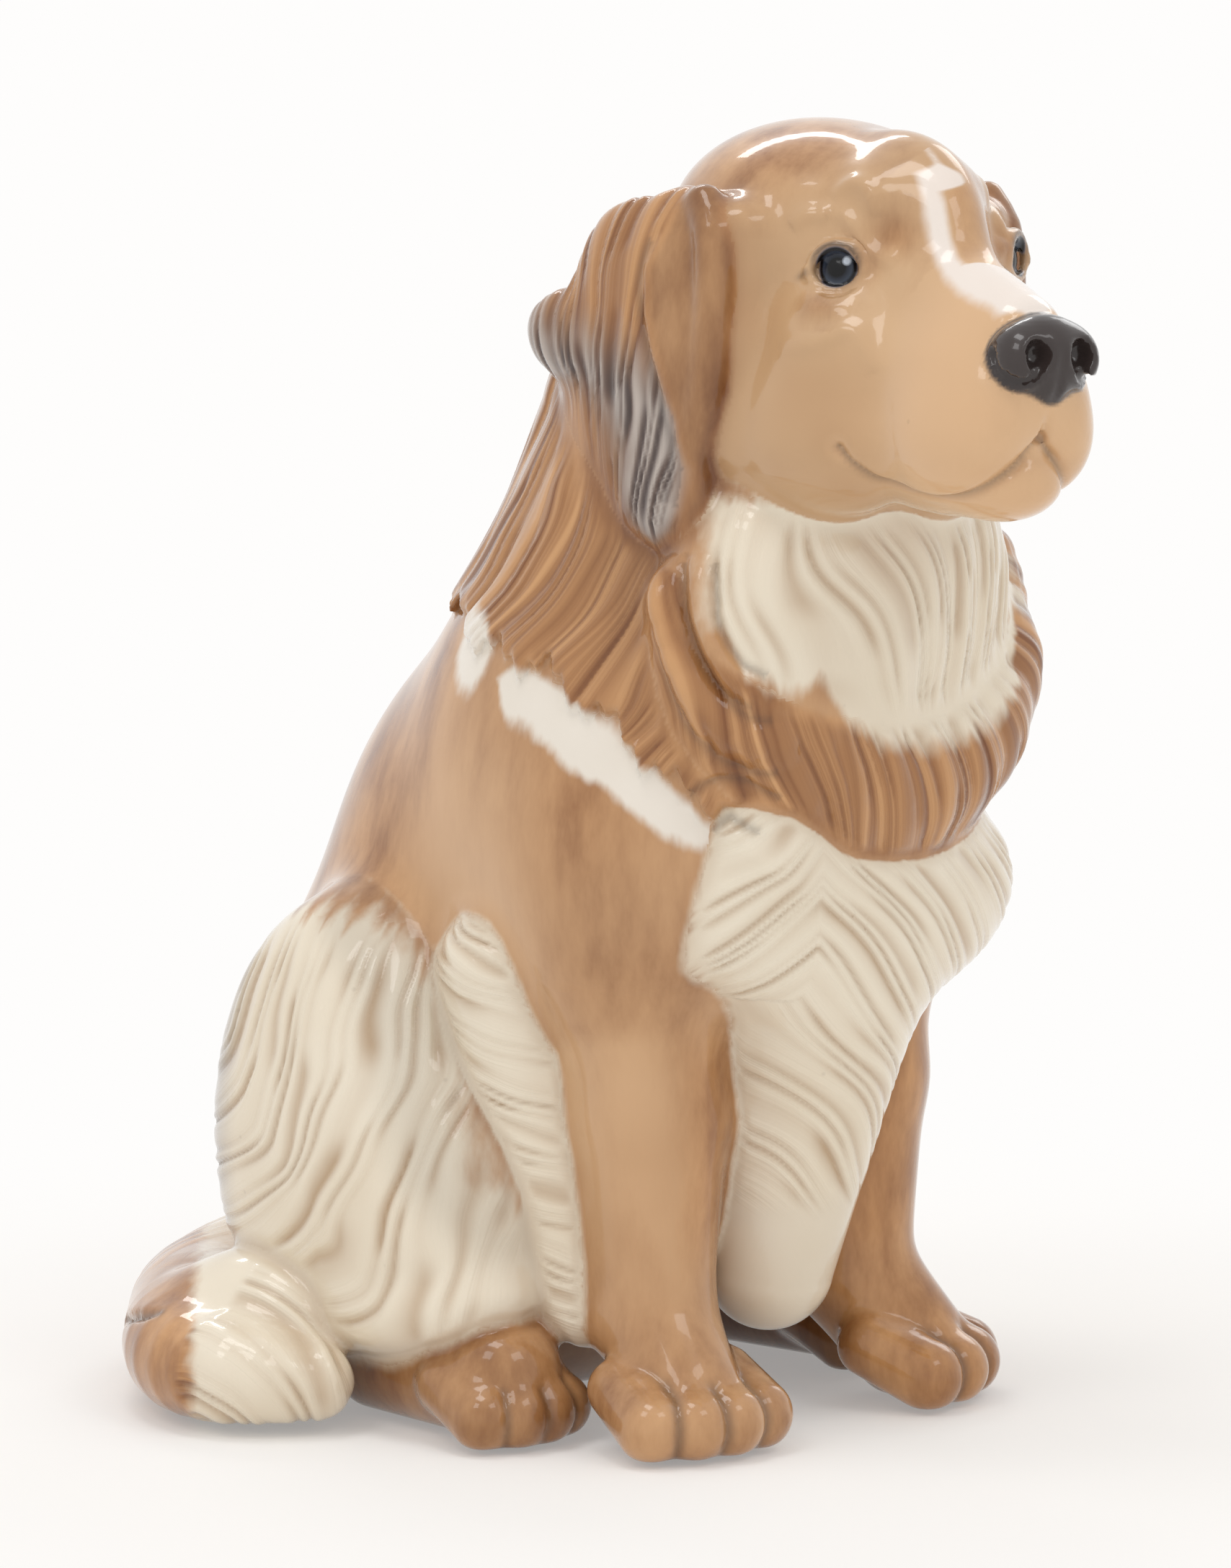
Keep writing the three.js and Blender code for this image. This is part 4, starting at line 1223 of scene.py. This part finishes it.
def pooled_and_shaded(tree, colour, grey_wash, hollow, pool_and_shade, pool_and_shade_strength):
    # pale streaks on the ridges of the grey fur, partly a painted highlight
    ridge = sums(tree, "POWER", sums(tree, "SUBTRACT", 1.0, hollow), 7.0)
    ridge_highlight = sums(tree, "MULTIPLY", sums(tree, "MULTIPLY", grey_wash, ridge), 0.8)
    colour = blend(tree, ridge_highlight, colour, SILVER)
    # dark grey in the grooves of the grey fur: collected colour and painted shade
    in_groove = sums(tree, "MULTIPLY", sums(tree, "POWER", grey_wash, 2.0), hollow)
    colour = blend(tree, in_groove, colour, "#473c3c")
    # colour and painted shade held in all the grooves
    colour = blend(tree, sums(tree, "MULTIPLY", pool_and_shade, pool_and_shade_strength), colour, GROOVE, "MULTIPLY")
    return blend(tree, wash(tree, "dark"), colour, DARK)


def eyes_on(tree, colour, coat):
    place = object_place(tree)
    for hand in (-1, 1):
        spots = {
            "Place": place,
            "Middle": in_frame(eye_point(hand, 0.1, -0.1, 0.2)),
            "Glint": in_frame(eye_point(hand, -1.3, 1.0, 0.1)),
        }
        eye = put(tree, "ShaderNodeGroup", spots, node_tree=painted_eye).outputs
        colour = blend(tree, eye["Mask"], colour, eye["Colour"])
        coat = sums(tree, "MULTIPLY", coat, sums(tree, "MULTIPLY_ADD", eye["Mask"], -0.6, 1.0))
    return colour, coat


print("The left eye lies in the frame at, m:", [round(c, 4) for c in in_frame(eye_point(1, 0, 0))])

# %% One recipe for all the glazes
def glaze(name, base, pool_and_shade_strength, pale=(WHITE, "#e2d9ca", 2.4, 1.2), eyes=False):
    material = bpy.data.materials.new(name)
    material.use_nodes = True
    tree = material.node_tree
    strand, furred, hollow, bare_foot = (wash(tree, label) for label in ("comb", "fur", "pool_and_shade", "bare"))
    streak = put(tree, "ShaderNodeGroup", {"Strand": strand, "Fur": furred}, node_tree=streaks).outputs
    grooves = {"Groove": hollow, "Strand": strand, "Fur": furred}
    pool_of = put(tree, "ShaderNodeGroup", grooves, node_tree=pooling_and_shade).outputs
    skin_of = put(tree, "ShaderNodeGroup", {"Bare": bare_foot}, node_tree=ripple).outputs

    colour, grey_wash = washes_on(tree, base, pale, streak, strand)
    colour = pooled_and_shaded(tree, colour, grey_wash, hollow, pool_of["Held_colour_and_shade"], pool_and_shade_strength)
    colour = blend(tree, sums(tree, "MULTIPLY", skin_of["Speck"], 0.12), colour, "#5b4636")
    coat = sums(tree, "MULTIPLY_ADD", bare_foot, -0.72, 0.72)
    if eyes:
        colour, coat = eyes_on(tree, colour, coat)

    fine_hair = {"Height": pool_of["Height"], "Strength": 0.35, "Distance": 0.0004}
    combed = put(tree, "ShaderNodeBump", fine_hair).outputs[0]
    rippled = {"Height": skin_of["Height"], "Normal": combed, "Strength": 0.05, "Distance": 0.0010}
    finish = {
        "Base Color": blend(tree, bare_foot, colour, BISQUE),
        "Roughness": skin_of["Roughness"],
        "Normal": put(tree, "ShaderNodeBump", rippled).outputs[0],
        "Coat Weight": coat,
        "Coat Roughness": 0.04,
        "Coat IOR": 1.45,
        "Specular IOR Level": 0.2,
    }
    feed(tree, tree.nodes["Principled BSDF"], finish)
    return material


GLAZES = {
    "tan_glaze": glaze("tan glaze", TAN, 0.42),
    "brown_glaze": glaze("brown glaze", TAN, 0.7),
    "cream_glaze": glaze("cream glaze", TAN, 0.8),
    "face": glaze("face glaze", FACE, 0.5, pale=("#f4ebe3", "#e6d5c8", 0.9, 0.8), eyes=True),
}
print("Glazes:", list(GLAZES))

# %% [markdown]
# ## Cutting the skin into its pieces
# Every quad goes to the form it lies nearest to. The points keep the normals of the whole skin, so
# the light runs on across a joint, and each piece's open edge is closed inside the body, where the
# clay of two pieces meets. Each piece then replaces its CAD node and rides on the one body.

# %% Quads to pieces
middles = skin[quads].mean(axis=1)
owner = np.argmin(distances(middles), axis=1)
edges = np.sort(np.stack([quads, np.roll(quads, -1, axis=1)], axis=2).reshape(-1, 2), axis=1)
keys = edges[:, 0] * len(skin) + edges[:, 1]
order = np.argsort(keys, kind="stable")
pair = np.flatnonzero(keys[order][:-1] == keys[order][1:])
beside = np.full(len(keys), -1)
beside[order[pair]] = order[pair + 1] // 4
beside[order[pair + 1]] = order[pair] // 4
beside = beside.reshape(-1, 4)
for _ in range(6):
    owner_before = owner.copy()
    others = np.where(beside >= 0, owner[beside], -1)
    for k in range(len(NAMES)):
        owner[(others == k).sum(axis=1) >= 3] = k
print("Quads moved in the last round:", int((owner != owner_before).sum()))

# %% Open rims, closed inside the body
RIM_SUNK, CAP_SUNK = 1.2, 2.0  # how far under the skin a rim and its cap's middle lie


def loops_of(edges_open):
    group_of = {}

    def root(a):
        while group_of[a] != a:
            group_of[a] = group_of[group_of[a]]
            a = group_of[a]
        return a

    for a, b in edges_open:
        group_of.setdefault(a, a)
        group_of.setdefault(b, b)
        group_of[root(a)] = root(b)
    return np.array([root(a) for a, _ in edges_open])


def close_rims(used, local):
    ways = np.stack([local, np.roll(local, -1, axis=1)], axis=2).reshape(-1, 2)
    forward = ways[:, 0] * len(used) + ways[:, 1]
    backward = ways[:, 1] * len(used) + ways[:, 0]
    open_edges = ways[~np.isin(forward, backward)]
    rim_points = np.unique(open_edges)
    below = {point: len(used) + k for k, point in enumerate(rim_points.tolist())}
    source = used[rim_points]
    under, caps = [skin[source] - RIM_SUNK * normals[source]], []
    ring = loops_of(open_edges.tolist())
    for one in np.unique(ring):
        rim = open_edges[ring == one]
        first = used[rim[:, 0]]
        middle = len(used) + sum(len(each) for each in under)
        under.append(skin[first].mean(axis=0)[None] - CAP_SUNK * normals[first].mean(axis=0))
        for a, b in rim.tolist():
            caps += [(b, a, below[a]), (b, below[a], below[b]), (below[b], below[a], middle)]
    source = np.concatenate([source, np.full(len(under) - 1, source[0])])
    return np.concatenate(under), np.array(caps), source


print("Rims lie under the skin by, mm:", RIM_SUNK)

# %% Making the pieces
WASHES = {
    "comb": comb, "fur": fur, "pool_and_shade": pool_and_shade, "cream": cream, "white": white, "brown": brown, "peach": peach,
    "grey": grey, "dark": dark, "bare": bare, "brown_on": (brown > 0.02).astype(float),
}


def make_piece(name):
    used, local = np.unique(quads[owner == COLUMN[name]], return_inverse=True)
    local = local.reshape(-1, 4)
    under, caps, below = close_rims(used, local)
    points, source = np.concatenate([skin[used], under]), np.concatenate([used, below])
    corners = np.concatenate([local.ravel(), caps.ravel()])
    starts = np.concatenate([np.arange(len(local)) * 4, len(local) * 4 + np.arange(len(caps)) * 3])

    mesh = bpy.data.meshes.new(name + "_skin")
    mesh.vertices.add(len(points))
    mesh.vertices.foreach_set("co", ((points + BENCH) * MM).astype(np.float32).ravel())
    mesh.loops.add(len(corners))
    mesh.loops.foreach_set("vertex_index", corners.astype(np.int32))
    mesh.polygons.add(len(starts))
    mesh.polygons.foreach_set("loop_start", starts.astype(np.int32))
    mesh.update(calc_edges=True)
    mesh.validate()
    mesh.polygons.foreach_set("use_smooth", np.ones(len(mesh.polygons), bool))
    for label, values in WASHES.items():
        attribute = mesh.attributes.new(label, "FLOAT", "POINT")
        attribute.data.foreach_set("value", values[source].astype(np.float32))
    mesh.normals_split_custom_set_from_vertices(normals[source].tolist())
    piece = bpy.data.objects.new(name + "_skin", mesh)
    scene.collection.objects.link(piece)
    return piece


BROWN = ["right_ear", "left_ear", "neck_ruff", "right_hind_foot", "left_hind_foot"]
SLOT_OF = {
    **dict.fromkeys(["torso", "head", "right_foreleg", "left_foreleg"], "tan_glaze"),
    **dict.fromkeys(BROWN, "brown_glaze"),
    **dict.fromkeys(PALE, "cream_glaze"),
}
for name in NAMES:
    piece = make_piece(name)
    piece.data.materials.append(GLAZES["face" if name == "head" else SLOT_OF[name]])
    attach(piece, "root")
    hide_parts(name)
    print(name, "faces:", len(piece.data.polygons))

# %% [markdown]
# ## Studio
# The figurine stands on a plain pale floor in soft light, as in a catalogue. The pale room gives the
# even light, and five small soft boxes give the glaze its highlights: a long strip behind and above
# for the skull, the nose and the paws, one at each side, one in front and one overhead.

# %% Floor
HALF, DROP = 3.0, 0.0002  # metres; the floor lies a hair under the dog
SHEET = [(-HALF, -HALF, 0), (HALF, -HALF, 0), (HALF, HALF, 0), (-HALF, HALF, 0)]
floor_mesh = bpy.data.meshes.new("floor")
floor_mesh.from_pydata(SHEET, [], [(0, 1, 2, 3)])
floor = bpy.data.objects.new("floor", floor_mesh)
floor.location.z = -DROP
scene.collection.objects.link(floor)


def seen_rays(tree):
    rays = put(tree, "ShaderNodeLightPath").outputs
    either = sums(tree, "MAXIMUM", rays["Is Camera Ray"], rays["Is Glossy Ray"])
    return sums(tree, "MAXIMUM", either, rays["Is Transmission Ray"])


paper = bpy.data.materials.new("paper")
paper.use_nodes = True
tree = paper.node_tree
tree.nodes.remove(tree.nodes["Principled BSDF"])
diffuse = put(tree, "ShaderNodeBsdfDiffuse", {"Color": "#fbfaf8"})
light = put(tree, "ShaderNodeEmission", {"Color": "#fefdfc"})
away = put(tree, "ShaderNodeVectorMath", {0: object_place(tree)}, operation="LENGTH").outputs["Value"]
ring = ramp(tree, away, 0.10, 0.24, 0.3, 1.0, "SMOOTHSTEP")
white_part = sums(tree, "MULTIPLY", ring, seen_rays(tree))
mix = put(tree, "ShaderNodeMixShader", {0: white_part, 1: diffuse.outputs[0], 2: light.outputs[0]})
feed(tree, tree.nodes["Material Output"], {"Surface": mix.outputs[0]})
floor_mesh.materials.append(paper)
print("Floor, m across:", 2 * HALF)

# %% World
world = bpy.data.worlds.new("room")
scene.world = world
world.use_nodes = True
tree = world.node_tree
room = feed(tree, tree.nodes["Background"], {"Color": "#f6f4f2", "Strength": 0.78})
plain_white = put(tree, "ShaderNodeBackground", {"Color": (1, 1, 1, 1)})
mix = put(tree, "ShaderNodeMixShader", {0: seen_rays(tree), 1: room.outputs[0], 2: plain_white.outputs[0]})
feed(tree, tree.nodes["World Output"], {"Surface": mix.outputs[0]})
print("Room light:", round(room.inputs["Strength"].default_value, 2))

# %% Lamps
AIM = Vector((BENCH + np.array([0, 32.4, 94.3])) * MM)
LAMPS = {  # azimuth, elevation, distance, width and height in metres, watts
    "back_strip": (150, 42, 1.2, 0.5, 0.12, 1.3),
    "left_box": (-82, 50, 1.4, 0.4, 0.4, 1.7),
    "right_box": (104, 30, 1.4, 0.5, 0.5, 1.5),
    "front_box": (-2, 46, 1.4, 0.5, 0.35, 1.5),
    "top_box": (-93, 77, 1.2, 0.5, 0.3, 2.2),
}


def stand(name, data, azimuth, elevation, distance):
    a, e = math.radians(azimuth), math.radians(elevation)
    back = Vector((math.sin(a) * math.cos(e), -math.cos(a) * math.cos(e), math.sin(e)))
    thing = bpy.data.objects.new(name, data)
    thing.location = AIM + back * distance
    thing.rotation_mode = "QUATERNION"
    thing.rotation_quaternion = (-back).to_track_quat("-Z", "Y")
    scene.collection.objects.link(thing)
    return thing


for name, (azimuth, elevation, distance, width, height, watts) in LAMPS.items():
    data = bpy.data.lights.new(name, "AREA")
    data.shape = "RECTANGLE"
    data.size, data.size_y = width, height
    data.energy = watts
    stand(name, data, azimuth, elevation, distance)
print("Lamps:", len(LAMPS))

# %% [markdown]
# ## Camera
# The dog is seen from its right front and a little from above. A long lens from two metres keeps
# its proportions, and the lens follows from the height that the frame takes in at that distance.

# %% Camera at the photograph's angle
CAMERA_DISTANCE, FRAME_HEIGHT, SENSOR = 2.0, 0.24, 24
camera_data = bpy.data.cameras.new("camera")
camera_data.sensor_width = SENSOR
camera_data.lens = SENSOR * CAMERA_DISTANCE / FRAME_HEIGHT
camera_data.clip_end = 30
scene.camera = stand("camera", camera_data, -46, 10, CAMERA_DISTANCE)
scene.view_settings.view_transform = "Standard"
print("Lens, mm:", round(camera_data.lens, 1))
